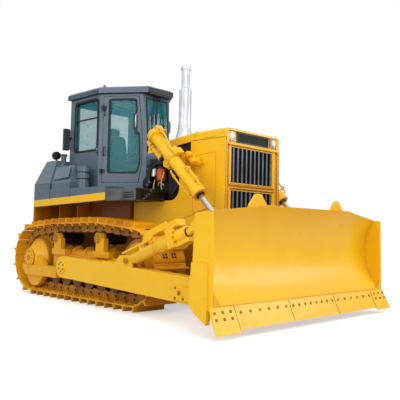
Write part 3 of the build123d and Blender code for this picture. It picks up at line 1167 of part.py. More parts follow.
def brace(s, parts):
    """Tongue, round stretches of start, end and radius, and the ball of one brace."""
    y = s * BRACE_Y
    low, high = s * (BRACE_Y + TONGUE[0]), s * (BRACE_Y + TONGUE[1])
    drum(*BRACE_PIN, TONGUE_R, low, high)
    lengthwise(BRACE_PIN, BRACE_HEAD, 0, LUG_REACH + GAP, -TONGUE_R, TONGUE_R, low, high)
    for start, end, r in parts:
        along(BRACE_PIN, BRACE_HEAD, y, r, start, end)
    with Locations((BRACE_HEAD[0], y, BRACE_HEAD[1])):
        Sphere(HEAD_BALL)


with BuildPart() as tilt_cylinder:
    brace(-1, ((LUG_REACH, TILT_START, BRACE_R), (TILT_START, TILT_END, TILT_R), (HEAD_END, GLAND_END, GLAND_R),
               (GLAND_END, BRACE_LONG, TILT_ROD)))
    lengthwise(BRACE_PIN, BRACE_HEAD, TILT_END, HEAD_END, -HEAD_HALF, HEAD_HALF, -BRACE_Y - HEAD_HALF,
               -BRACE_Y + HEAD_HALF)
    lengthwise(BRACE_PIN, BRACE_HEAD, TILT_END, PORT_END, HEAD_HALF, PORT_TOP, -BRACE_Y - PORT_HALF, -BRACE_Y + PORT_HALF)
    lengthwise(BRACE_PIN, BRACE_HEAD, HEAD_END, FOOT_END, -HEAD_HALF, -PORT_HALF, -BRACE_Y - PORT_HALF,
               -BRACE_Y + PORT_HALF)
    plate = [toward(BRACE_PIN, BRACE_HEAD, along_it, rise) for along_it, rise in HOSE_PLATE]
    side_plate(plate, -BRACE_Y - HOSE_HALF, -BRACE_Y - HOSE_HALF + HOSE_THICK)
    for at in HOSE_STAYS:
        lengthwise(BRACE_PIN, BRACE_HEAD, at, at + HOSE_THICK, 0, HOSE_RISE, -BRACE_Y - HOSE_HALF, -BRACE_Y)
keep(tilt_cylinder, "tilt_cylinder")

with BuildPart() as brace_strut:
    brace(1, ((LUG_REACH, SCREW_START, BRACE_R), (SCREW_START, BRACE_LONG, SCREW_R)))
keep(brace_strut, "brace_strut")

# ============================================================================================
# Lift cylinders
# ============================================================================================
YOKE_IN = LIFT_Y - BARREL_R - GAP - YOKE_ROOM      # where the yoke's block ends beside the barrel
PIN_END = LIFT_Y - BARREL_R + PIN_GRIP             # short of the rod's bore
LIFT_LONG = hypot(LIFT_EYE[0] - LIFT_TRUNNION[0], LIFT_EYE[1] - LIFT_TRUNNION[1])

with BuildPart() as lift_yokes:
    x, z = LIFT_TRUNNION
    rear, front, low, high, thick = YOKE_PLATE
    for _, s in SIDES:
        side_plate(((x - rear, z + high), (x - rear, z - low), (x + 0.4 * front, z - low), (x + front, z - 0.2 * low),
                    (x + front, z + 0.4 * high), (x + 0.5 * front, z + high)), s * GUARD_HALF, s * (GUARD_HALF + thick))
        block(x - YOKE_HALF, x + YOKE_HALF, s * (GUARD_HALF + thick), s * YOKE_IN, z - YOKE_HALF, z + YOKE_HALF)
        drum(x, z, TRUNNION_R, s * YOKE_IN, s * PIN_END)
keep(lift_yokes, "lift_yokes")

for name, s in SIDES:
    y = s * LIFT_Y
    ends = (LIFT_TRUNNION, LIFT_EYE)
    across = toward(*ends, 0, 100)
    fork = s * (YOKE_IN + GAP)
    with BuildPart() as barrel:
        along(*ends, y, BARREL_R, -BARREL_BACK, BARREL_AHEAD - GLAND)
        along(*ends, y, BARREL_R + CAP_OVER, -BARREL_BACK - CAP_BACK, -BARREL_BACK + CAP_AHEAD)
        along(*ends, y, BARREL_R + GLAND_OVER, BARREL_AHEAD - GLAND - GLAND_LAP, BARREL_AHEAD)
        along(*ends, y, BARREL_R + GLAND_OVER, -LOBE_R, LOBE_R)
        for off in (-1, 1):
            along(LIFT_TRUNNION, across, y, LOBE_R, min(off * LOBE_ROOT, off * LOBE_REACH),
                  max(off * LOBE_ROOT, off * LOBE_REACH))
            lengthwise(*ends, -LOBE_R, LOBE_R, off * (LOBE_REACH - LOBE_ARM), off * LOBE_REACH, fork, y)
        lengthwise(*ends, -LOBE_R, LOBE_R, -LOBE_REACH, LOBE_REACH, fork, fork + s * FORK_THICK)
        drum(*LIFT_TRUNNION, COLLAR_R, fork, s * (LIFT_Y - BARREL_R + COLLAR_SINK))
        drum(*LIFT_TRUNNION, TRUNNION_R + BORE_PLAY, fork, s * PIN_END, mode=Mode.SUBTRACT)
        for side, half, reach in PORTS:
            lengthwise(*ends, -BARREL_BACK - CAP_BACK, 2 * half - BARREL_BACK, side * LOBE_R, side * reach,
                       y - half, y + half)
        r, off, start, end = SIDE_TUBE
        along(*ends, y, r, start, end, off=off)
        lengthwise(*ends, end - TUBE_FOOT[0], end - TUBE_FOOT[1], off, -BARREL_R + GAP, y - r, y + r)
        along(*ends, y, ROD_R + RUN, -BARREL_BACK + BASE_THICK, BARREL_AHEAD, mode=Mode.SUBTRACT)
    keep(barrel, f"lift_barrel_{name}")
    with BuildPart() as rod:
        along(*ends, y, ROD_R, BARREL_AHEAD - ROD_INSIDE, LIFT_LONG)
        drum(*LIFT_EYE, EYE_R, y - EYE_HALF, y + EYE_HALF)
    keep(rod, f"lift_rod_{name}")
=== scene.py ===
"""Looks for the crawler bulldozer: materials, fine pieces, floor, lights and camera.

Pieces are drawn in millimetres: x forward from the middle of the undercarriage, y to the operator's
left, z up from the ground. The camera, the lights and the floor are in metres.
"""

import json
from math import acos, atan2, cos, hypot, pi, radians, sin, sqrt

import bmesh
import bpy
from mathutils import Matrix, Vector


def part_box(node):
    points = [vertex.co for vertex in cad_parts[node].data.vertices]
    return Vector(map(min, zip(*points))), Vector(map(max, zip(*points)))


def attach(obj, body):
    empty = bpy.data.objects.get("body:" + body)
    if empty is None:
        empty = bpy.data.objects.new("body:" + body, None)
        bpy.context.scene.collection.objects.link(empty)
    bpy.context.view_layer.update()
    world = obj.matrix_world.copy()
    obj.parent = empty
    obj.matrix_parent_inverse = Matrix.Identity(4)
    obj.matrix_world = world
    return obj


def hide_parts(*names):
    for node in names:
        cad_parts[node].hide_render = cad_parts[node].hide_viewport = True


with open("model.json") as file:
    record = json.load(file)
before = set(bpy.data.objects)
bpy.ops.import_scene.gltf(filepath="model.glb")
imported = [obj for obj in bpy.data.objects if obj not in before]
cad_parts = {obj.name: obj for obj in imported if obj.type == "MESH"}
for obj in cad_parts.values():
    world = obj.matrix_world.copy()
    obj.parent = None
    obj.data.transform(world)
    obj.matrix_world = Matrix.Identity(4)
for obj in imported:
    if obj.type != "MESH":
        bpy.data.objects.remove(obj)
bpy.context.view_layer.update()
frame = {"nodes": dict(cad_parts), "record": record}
NODES = frame["nodes"]


# ---- Materials ----
class Surface:
    """A node material built step by step around one Principled shader."""

    def __init__(self, name, **sockets):
        self.material = bpy.data.materials.new(name)
        self.material.use_nodes = True
        self.tree = self.material.node_tree
        self.shader = self.tree.nodes["Principled BSDF"]
        for socket, value in sockets.items():
            self.shader.inputs[socket.replace("_", " ")].default_value = value
        self.where = self.tree.nodes.new("ShaderNodeTexCoord").outputs["Object"]

    def fill(self, target, value):
        """Link a socket to an input, or set the input to a plain value."""
        if isinstance(value, bpy.types.NodeSocket):
            self.tree.links.new(value, target)
        else:
            target.default_value = value

    def node(self, kind, settings=(), **links):
        """A node with its attributes set and its inputs filled by name."""
        made = self.tree.nodes.new(kind)
        for attribute, value in dict(settings).items():
            setattr(made, attribute, value)
        for socket, value in links.items():
            self.fill(made.inputs[socket.replace("_", " ")], value)
        return made

    def noise(self, scale, detail=4.0, rough=0.55, stretch=None):
        where = self.where
        if stretch:
            where = self.node("ShaderNodeMapping", Vector=where, Scale=stretch).outputs[0]
        return self.node("ShaderNodeTexNoise", Vector=where, Scale=scale, Detail=detail,
                         Roughness=rough).outputs["Fac"]

    def math(self, operation, first, second=0.0):
        made = self.node("ShaderNodeMath", {"operation": operation})
        self.fill(made.inputs[0], first)
        self.fill(made.inputs[1], second)
        return made.outputs[0]

    def ramp(self, value, low, high, first=0.0, last=1.0):
        """A smooth rise from first to last while the value goes from low to high."""
        return self.node("ShaderNodeMapRange", {"interpolation_type": "SMOOTHSTEP"}, Value=value,
                         From_Min=low, From_Max=high, To_Min=first, To_Max=last).outputs[0]

    def mix(self, share, first, second):
        """A blend of two colours."""
        made = self.node("ShaderNodeMix", {"data_type": "RGBA"})
        for index, value in ((0, share), (6, first), (7, second)):
            self.fill(made.inputs[index], value)
        return made.outputs[2]

    def colour(self, value):
        self.tree.links.new(value, self.shader.inputs["Base Color"])

    def rough(self, value):
        self.tree.links.new(value, self.shader.inputs["Roughness"])

    def bump(self, height, strength, distance):
        made = self.node("ShaderNodeBump", Height=height, Strength=strength, Distance=distance)
        self.tree.links.new(made.outputs[0], self.shader.inputs["Normal"])


def rgb(red, green, blue):
    """An sRGB colour as a linear one."""
    linear = [c / 12.92 if c <= 0.04045 else ((c + 0.055) / 1.055) ** 2.4 for c in (red, green, blue)]
    return (*linear, 1.0)


DUST = rgb(0.86, 0.72, 0.36)
BARE_METAL = rgb(0.45, 0.33, 0.16)


def paint(name, base, worn, roughness=0.32, dust=0.0, shade=None, wear=0.0):
    """Sprayed paint: cloudy tone, dust on what faces up, orange peel, bare patches by wear, and, if shade is
    given, painted shade.

    shade is a painted shade: a darker colour, and the two distances in metres from the machine's middle plane
    between which it gives way to the base colour, so that what lies nearer the middle is painted as in
    shadow.
    """
    made = Surface(name, Metallic=0.0, Coat_Weight=0.12, Coat_Roughness=0.12, Specular_IOR_Level=0.3)
    tone = made.mix(made.ramp(made.noise(1.3), 0.35, 0.7), rgb(*base), rgb(*worn))
    # Painted shade: nearer the middle plane than the inner distance, the shade colour replaces the paint.
    if shade:
        colour, inner, outer = shade
        across = made.node("ShaderNodeSeparateXYZ", Vector=made.where).outputs["Y"]
        tone = made.mix(made.ramp(made.math("ABSOLUTE", across), inner, outer), rgb(*colour), tone)
    if dust:
        normal = made.tree.nodes.new("ShaderNodeTexCoord").outputs["Normal"]
        upward = made.node("ShaderNodeSeparateXYZ", Vector=normal).outputs["Z"]
        settled = made.math("MULTIPLY", made.ramp(upward, 0.4, 1.0, 0.0, dust),
                            made.ramp(made.noise(6.0, 6.0), 0.3, 0.7, 0.4, 1.0))
        tone = made.mix(settled, tone, DUST)
    if wear:
        spots = made.ramp(made.noise(26.0, 8.0, 0.7), 0.62, 0.68, 0.0, wear)
        tone = made.mix(spots, tone, BARE_METAL)
    made.colour(tone)
    made.rough(made.ramp(made.noise(9.0, 6.0), 0.3, 0.75, roughness - 0.05, roughness + 0.10))
    made.bump(made.noise(150.0, 2.0), 0.05, 0.002)
    return made.material


def plain(name, base, roughness, metallic=0.0, spread=0.25, grain=120.0, **more):
    """One colour with a cloudy tone and a fine grain."""
    made = Surface(name, Metallic=metallic, **more)
    darker = [c * (1 - spread) for c in base]
    made.colour(made.mix(made.ramp(made.noise(4.0), 0.35, 0.7), rgb(*base), rgb(*darker)))
    made.rough(made.ramp(made.noise(22.0, 6.0), 0.3, 0.7, roughness - 0.05, roughness + 0.08))
    made.bump(made.noise(grain, 3.0), 0.12, 0.002)
    return made.material


def glass(name, tint, alpha):
    """Tinted glass with faint streaks of dust."""
    made = Surface(name, Roughness=0.03, Alpha=alpha)
    streaks = made.ramp(made.noise(3.0, 5.0, 0.6, (1.0, 1.0, 0.25)), 0.45, 0.75)
    made.colour(made.mix(streaks, rgb(*tint), rgb(*[c + 0.05 for c in tint])))
    made.rough(made.ramp(streaks, 0.0, 1.0, 0.02, 0.09))
    return made.material


def brushed(name, base, roughness, stretch):
    """Metal with fine marks along its own run."""
    made = Surface(name, Metallic=1.0)
    marks = made.noise(90.0, 3.0, 0.6, stretch)
    made.colour(made.mix(made.ramp(marks, 0.3, 0.7), rgb(*base), rgb(*[c * 0.86 for c in base])))
    made.rough(made.ramp(marks, 0.3, 0.7, roughness, roughness + 0.12))
    made.bump(marks, 0.04, 0.001)
    return made.material


def woven(name, base):
    """Seat cloth: a fine two-way weave with a soft sheen."""
    made = Surface(name, Sheen_Weight=0.35, Roughness=0.85)
    threads = [made.node("ShaderNodeTexWave", {"bands_direction": way}, Vector=made.where, Scale=170.0,
                         Distortion=0.6).outputs["Fac"] for way in ("X", "Z")]
    weave = made.math("MAXIMUM", *threads)
    made.colour(made.mix(weave, rgb(*[c * 0.6 for c in base]), rgb(*base)))
    made.bump(weave, 0.4, 0.001)
    return made.material


GOLD = (0.955, 0.745, 0.09)
AMBER = (0.945, 0.72, 0.07)
YELLOW = paint("yellow_paint", GOLD, AMBER, dust=0.12)
# The fenders' inner panels, nearer the middle plane than 0.70 m, turn dark brown: painted shade under the
# fender band.
FENDER_YELLOW_PAINTED_SHADE = paint("fender_yellow_painted_shade", GOLD, AMBER, dust=0.2, shade=((0.50, 0.29, 0.03), 0.70, 1.05))
# A darker, browner copy of the yellow paint: painted shade for parts under the fenders and for dark lines at
# joints and seams; its dust and bare patches are real wear.
PAINTED_SHADE_YELLOW = paint("painted_shade_yellow", (0.76, 0.50, 0.06), (0.60, 0.37, 0.04), 0.45, dust=0.15, wear=0.3)
WORK_YELLOW = paint("work_yellow", (0.94, 0.69, 0.07), (0.88, 0.61, 0.05), 0.42, dust=0.18, wear=0.12)
# A darker brownish yellow for the links, sprockets and caps: painted shade on the yellow paint under the
# track; the bare patches are real wear.
LINK_PAINTED_SHADE = paint("link_painted_shade", (0.76, 0.53, 0.08), (0.52, 0.34, 0.05), 0.5, wear=0.3)
SHOE_YELLOW = paint("shoe_yellow", (0.94, 0.68, 0.08), (0.80, 0.53, 0.05), 0.45, dust=0.2, wear=0.2)
CAB_GREY = paint("cab_grey", (0.36, 0.425, 0.485), (0.335, 0.40, 0.46), 0.26, dust=0.06)
BLACK = plain("black_paint", (0.085, 0.085, 0.09), 0.4)
ROLLER_BLACK = plain("roller_black", (0.14, 0.10, 0.07), 0.5, 0.2, 0.4, 60.0)
# A yellow-brown for the track rollers: painted shade on their yellow paint; the bare patches are real wear.
ROLLER_PAINTED_SHADE = paint("roller_painted_shade", (0.52, 0.36, 0.07), (0.34, 0.22, 0.05), 0.5, wear=0.4)
MIRROR_GREY = plain("mirror_grey", (0.25, 0.28, 0.31), 0.4)
RUBBER = plain("rubber", (0.06, 0.06, 0.065), 0.55, 0.0, 0.3, 220.0)
GRILLE_GREY = plain("grille_grey", (0.36, 0.38, 0.42), 0.35, 0.2)
CORE_BLACK = plain("core_black", (0.05, 0.05, 0.055), 0.7, 0.0, 0.4, 300.0)
STEP_GREY = plain("step_grey", (0.36, 0.375, 0.40), 0.5, 0.0, 0.3, 90.0)
SEAT_CLOTH = woven("seat_cloth", (0.22, 0.24, 0.25))
PLASTIC = plain("console_plastic", (0.15, 0.16, 0.17), 0.5)
EXHAUST = plain("exhaust_metal", (0.86, 0.88, 0.92), 0.32, 0.35, 0.08)
CHROME = brushed("chrome_rod", (0.93, 0.93, 0.94), 0.08, (1.0, 12.0, 1.0))
STEEL = brushed("bright_steel", (0.80, 0.81, 0.82), 0.22, (1.0, 6.0, 1.0))
# Bolt heads a darker yellow than the paint round them: painted shade for their small shadows.
BOLT_PAINTED_SHADE = plain("bolt_painted_shade", (0.68, 0.48, 0.12), 0.4, 0.1, 0.2)
GLASS = glass("cab_glass", (0.11, 0.59, 0.63), 0.28)
LENS = plain("lamp_lens", (0.84, 0.83, 0.79), 0.08, Coat_Weight=1.0)
ORANGE = plain("orange_filter", (0.86, 0.38, 0.12), 0.4)
HOSE = plain("hose_rubber", (0.10, 0.10, 0.105), 0.5, 0.0, 0.3, 260.0)
LINE_YELLOW = plain("line_yellow", (0.93, 0.80, 0.50), 0.35)

# The finish of each material slot of the record, and the nodes that have another one.
FINISH = {
    "yellow_paint": YELLOW, "cab_grey": CAB_GREY, "cab_glass": GLASS, "exhaust_metal": EXHAUST,
    "seat_vinyl": SEAT_CLOTH, "console_plastic": PLASTIC, "engine_black": BLACK, "grille_grey": GRILLE_GREY,
    "lamp_glass": LENS, "black_plastic": BLACK, "chrome": CHROME, "step_grey": STEP_GREY,
}
# The darker yellows and browns here paint shade on the main frame, idlers, sprockets, track rollers and the
# fenders' inner panels.
BARE = {"sprockets": LINK_PAINTED_SHADE, "track_rollers": ROLLER_PAINTED_SHADE, "idlers": PAINTED_SHADE_YELLOW,
        "carrier_rollers": WORK_YELLOW, "main_frame": PAINTED_SHADE_YELLOW, "fenders": FENDER_YELLOW_PAINTED_SHADE,
        "track_frames": WORK_YELLOW, "final_drives": WORK_YELLOW, "radiator": CORE_BLACK}


# ---- The CAD pieces: rounded edges and their finishes ----
SHARP = radians(35)
CAD_BEVEL = 6
WELD_REACH = 0.2


def soften(piece, width):
    """Round the sharp edges of a piece by a width in millimetres."""
    bevel = piece.modifiers.new("bevel", "BEVEL")
    bevel.width = width / 1000
    bevel.segments = 2
    bevel.limit_method = "ANGLE"
    bevel.angle_limit = SHARP
    bevel.harden_normals = True


def dress_cad():
    """Give each node its finish, and all but the panes rounded edges."""
    slots = {part["node"]: part["material_slot"] for part in frame["record"]["subparts"]}
    for name, node in NODES.items():
        node.data.materials.clear()
        node.data.materials.append(BARE.get(name) or FINISH[slots[name]])
        if "glass" in name:
            continue
        weld = node.modifiers.new("weld", "WELD")
        weld.merge_threshold = WELD_REACH / 1000
        soften(node, CAD_BEVEL)


# ---- Places and mesh pieces ----
TRACK_Y = 1000.0
AXLE_Z = 612.0
SPROCKET_X, IDLER_X = -1150.0, 1550.0
RAIL_R = 387.0
MIDDLE = sum(corner[0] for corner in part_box("sprockets")) / 2 - SPROCKET_X / 1000
AHEAD, LEFT, UP = (Vector(row) for row in Matrix.Identity(3))


class Side:
    """One side of the machine; called with x, y, z it gives the place at y from the middle plane."""

    def __init__(self, name, sign):
        self.name = name
        self.sign = sign
        self.out = Vector((0, sign, 0))

    def __call__(self, x, y, z):
        return Vector((x, self.sign * y, z))


SIDES = (Side("right", -1), Side("left", 1))


def corners(name):
    """The low and the high corner of a node, in the script's millimetres."""
    return [Vector(((x - MIDDLE) * 1000, y * 1000, z * 1000)) for x, y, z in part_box(name)]


def linked(name, data):
    """A new object of the scene."""
    piece = bpy.data.objects.new(name, data)
    bpy.context.scene.collection.objects.link(piece)
    return piece


def smooth_piece(name, mesh, material):
    """A bmesh as an object with smooth shading."""
    data = bpy.data.meshes.new(name)
    mesh.to_mesh(data)
    mesh.free()
    data.materials.append(material)
    data.shade_smooth()
    return linked(name, data)


def in_metres(place):
    """A place of this script as one of the frame."""
    x, y, z = place
    return (MIDDLE + x / 1000, y / 1000, z / 1000)


def frame_along(way):
    """Two unit vectors across a direction: the first is level, the second square to both."""
    way = Vector(way).normalized()
    side = UP.cross(way)
    if side.length < 1e-6:
        side = AHEAD.cross(way)
    side.normalize()
    return side, way.cross(side)


def around(centre, u, v, r, count, turn=0.0):
    """Places on a circle in the plane of two unit vectors."""
    steps = [2 * pi * k / count + turn for k in range(count)]
    return [centre + r * (cos(a) * u + sin(a) * v) for a in steps]


class Shape:
    """Simple solids gathered into one mesh."""

    def __init__(self):
        self.mesh = bmesh.new()

    def skin(self, rings, closed=False):
        """Faces between rings of as many points each, with a face on each end unless they close."""
        rows = [[self.mesh.verts.new(in_metres(point)) for point in ring] for ring in rings]
        count = len(rows[0])
        for first, second in zip(rows, rows[1:] + rows[:1] if closed else rows[1:]):
            for i in range(count):
                j = (i + 1) % count
                self.mesh.faces.new((first[i], first[j], second[j], second[i]))
        if not closed:
            self.mesh.faces.new(rows[0][::-1])
            self.mesh.faces.new(rows[-1])

    def box(self, low, high):
        (x0, x1), (y0, y1), (z0, z1) = (sorted(pair) for pair in zip(low, high))
        self.skin([[(x0, y0, z), (x1, y0, z), (x1, y1, z), (x0, y1, z)] for z in (z0, z1)])

    def slab(self, outline, place, u, v, depth):
        """A flat outline in the directions u and v from a place, as thick as the vector depth."""
        base = [Vector(place) + a * Vector(u) + b * Vector(v) for a, b in outline]
        self.skin([base, [point + Vector(depth) for point in base]])

    def rod(self, start, end, r, r_end=None, sides=16):
        """A round or tapered bar from start to end."""
        way = Vector(end) - Vector(start)
        self.turned(((0, r), (way.length, r if r_end is None else r_end)), start, way, sides)

    def disc(self, place, way, r, high, sides=16):
        """A round plate from a place, as thick as high."""
        self.turned(((0, r), (high, r)), place, way, sides)

    def turned(self, profile, place, way, sides=24):
        """A solid of revolution: pairs of distance along the way and radius."""
        way = Vector(way).normalized()
        self.skin([around(Vector(place) + way * s, *frame_along(way), r, sides) for s, r in profile])

    def tube(self, path, r, sides=10, rounds=3):
        """A bent round bar through points, its corners rounded."""
        path = [Vector(point) for point in path]
        for _ in range(rounds):
            finer = [path[0]]
            for a, b in zip(path, path[1:]):
                finer += [a.lerp(b, 0.25), a.lerp(b, 0.75)]
            path = finer + [path[-1]]
        rings = []
        side = frame_along(path[1] - path[0])[0]
        for i, point in enumerate(path):
            way = (path[min(i + 1, len(path) - 1)] - path[max(i - 1, 0)]).normalized()
            side = (side - way * side.dot(way)).normalized()
            rings.append(around(point, side, way.cross(side), r, sides))
        self.skin(rings)

    def bead(self, points, r=3.5, sides=6):
        """A thin bar straight from point to point."""
        self.tube(points, r, sides, 0)

    def bolt(self, place, way, r=16, high=12, washer=True):
        """A hexagon head on a washer."""
        if washer:
            self.disc(place, way, r * 1.35, high * 0.3, 14)
        self.turned(((0, r), (high * 0.85, r), (high, r * 0.8)), place, way, 6)

    def bolt_ring(self, centre, way, ring, count, r, high, turn=0.0, heads=1, washer=True):
        """Bolts in a circle round an axis, their heads along it or, with heads at -1, against it."""
        for place in around(centre, *frame_along(way), ring, count, turn):
            self.bolt(place, way * heads, r, high, washer)

    def band(self, outline, corner, outward, inward, place, u, v, depth):
        """A frame along a rounded outline, from inward to outward of it, as thick as depth."""
        base = rounded(outline, corner)
        outer, inner = grown(base, outward), grown(base, -inward)
        self.skin([[place + a * u + b * v + shift for a, b in edge] for edge, shift in (
            (outer, Vector()), (outer, depth), (inner, depth), (inner, Vector()))], closed=True)

    def made(self, name, material, body="machine", slot=None, bevel=0, replaces=()):
        """The mesh as a piece that rides on a body, its edges rounded by bevel."""
        bmesh.ops.recalc_face_normals(self.mesh, faces=self.mesh.faces)
        piece = smooth_piece(name, self.mesh, material)
        piece.data.set_sharp_from_angle(angle=SHARP)
        if bevel:
            soften(piece, bevel)
        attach(piece, body)
        if replaces:
            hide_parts(*replaces)


def rounded(outline, radius, steps=4):
    """An outline with its corners rounded."""
    shape = []
    for i, corner in enumerate(outline):
        here = Vector(corner)
        before, after = Vector(outline[i - 1]) - here, Vector(outline[(i + 1) % len(outline)]) - here
        reach = min(radius, before.length / 2, after.length / 2)
        first, last = here + before.normalized() * reach, here + after.normalized() * reach
        for k in range(steps + 1):
            t = k / steps
            shape.append(tuple(first * (1 - t) ** 2 + here * (2 * t * (1 - t)) + last * t ** 2))
    return shape


def grown(outline, by):
    """An outline moved outward by a distance, for one that runs either way round."""
    count = len(outline)
    area = sum(outline[i - 1][0] * outline[i][1] - outline[i][0] * outline[i - 1][1] for i in range(count))
    sign = 1 if area > 0 else -1
    shape = []
    for i in range(count):
        a, b, c = (Vector(outline[j % count]) for j in (i - 1, i, i + 1))
        first, second = (b - a).normalized(), (c - b).normalized()
        across = Vector((first.y + second.y, -first.x - second.x))
        across /= max(across.length_squared / 2, 0.3)
        shape.append(tuple(b + across * by * sign))
    return shape


def rectangle(x0, x1, z0, z1):
    """An outline of four corners."""
    return [(x0, z0), (x1, z0), (x1, z1), (x0, z1)]


class Axis:
    """A cylinder's line between two X-Z points, at a distance y from the middle plane on one side."""

    def __init__(self, start, end, side, y):
        self.foot = side(start[0], y, start[1])
        self.way = Vector((end[0] - start[0], 0, end[1] - start[1])).normalized()
        self.up = Vector((-self.way.z, 0, self.way.x))
        self.out = side.out

    def __call__(self, s, off=0.0, aside=0.0):
        """The place at distance s along the line, off above it and aside outward."""
        return self.foot + self.way * s + self.up * off + self.out * aside

    def ring(self, shape, first, last, r, r_end=None, sides=36):
        """Add a collar round the line, between two distances along it."""
        shape.rod(self(first), self(last), r, r_end, sides)


def shapes(count):
    """Empty shapes, one for each piece that a function builds."""
    return [Shape() for _ in range(count)]


# ---- Tracks ----
CARRIERS = ((-480.0, 962.0), (690.0, 988.0))
CARRIER_R = 92.0
HUB_Y = 1300
WHEELS = ((SPROCKET_X, AXLE_Z, RAIL_R), *((x, z, CARRIER_R) for x, z in CARRIERS), (IDLER_X, AXLE_Z, RAIL_R))
PIN_RISE = 64.0
SHOES = 39


def pin_path():
    """The track's closed path through its pins, as lengths, starts, normals and radii."""
    spans = [(second[0] - first[0], second[1] - first[1], first[2] - second[2])
             for first, second in zip(WHEELS, WHEELS[1:] + WHEELS[:1])]
    normals = [atan2(dz, dx) + acos(drop / hypot(dx, dz)) for dx, dz, drop in spans]
    path = []
    for i, ((x, z, r), (dx, dz, drop)) in enumerate(zip(WHEELS, spans)):
        before, after, r = normals[i - 1], normals[i], r + PIN_RISE
        path.append((((before - after) % (2 * pi)) * r, (x, z), before, r))
        leaving = (x + r * cos(after), z + r * sin(after))
        path.append((sqrt(dx ** 2 + dz ** 2 - drop ** 2), leaving, after, None))
    return path


PATH = pin_path()
LOOP = sum(piece[0] for piece in PATH)
PITCH = LOOP / SHOES


def on_path(s):
    """The X-Z point at distance s along the path, and the angle of its outward normal."""
    s %= LOOP
    for length, (x, z), normal, radius in PATH:
        if s <= length:
            break
        s -= length
    if radius is None:
        return (x + s * sin(normal), z - s * cos(normal)), normal
    normal -= s / radius
    return (x + radius * cos(normal), z + radius * sin(normal)), normal


# Outlines along the track and outward from the pins; the grouser is the shoe's rib.
SHOE = ((-98, 66), (84, 64), (112, 56), (136, 34), (150, 38), (138, 58), (116, 76), (96, 87), (-24, 89),
        (-31, 96), (-38, 150), (-42, 160), (-58, 160), (-62, 150), (-69, 96), (-76, 89), (-100, 90),
        (-112, 82))
SHOE_END = [(u * 0.96, v) for u, v in SHOE]
LINK = rounded(
    [(-96, -34), (-60, -64), (60, -64), (96, -34), (98, 26), (62, 62), (-62, 62), (-98, 26)], 18, 2)


def tracks():
    """Shoes with grousers and bolts, link rails with pins, for both sides."""
    for side in SIDES:
        shoes, links, ends = shapes(3)
        for i in range(SHOES):
            (x, z), normal = on_path(i * PITCH)
            ahead = Vector((sin(normal), 0, -cos(normal)))
            out = Vector((cos(normal), 0, sin(normal)))

            def where(u, y, v):
                return side(x, y, z) + ahead * u + out * v

            shoes.skin([[where(u, y, v) for u, v in outline] for y, outline in (
                (720, SHOE_END), (730, SHOE), (1270, SHOE), (1280, SHOE_END))])
            for rail, outer in ((923, -1), (1077, 1)):
                for u in (20, 62):
                    for off in (-22, 26):
                        ends.bolt(where(u, rail + outer * off, 89), out, 13, 11)
                low, high = sorted((rail - outer * 29, rail + outer * 28))
                links.slab(LINK, where(0, low, 0), ahead, out, side.out * (high - low))
                pin = where(PITCH / 2, rail + outer * 20, 0)
                links.turned(((0, 47), (14, 47), (18, 43)), pin, side.out * outer, 18)
                ends.turned(((16, 24), (19.5, 24)), pin, side.out * outer, 14)
        track = (f"track_{side.name}",)
        shoes.made(f"track_shoes_{side.name}", SHOE_YELLOW, bevel=4, replaces=track)
        # The links take a darker brownish yellow: painted shade under the shoes.
        links.made(f"track_links_{side.name}", LINK_PAINTED_SHADE, bevel=4, replaces=track)
        ends.made(f"track_pins_{side.name}", ROLLER_BLACK, replaces=track)


FIRST_ROLLER, LAST_ROLLER, ROLLERS = SPROCKET_X + 560, IDLER_X - 530, 6
DRUM = ((720, 890, 93.5), (890, 903, 112), (903, 1098, 93.5), (1098, 1112, 112), (1112, 1128, 70))
SUPPORT_X = -900.0


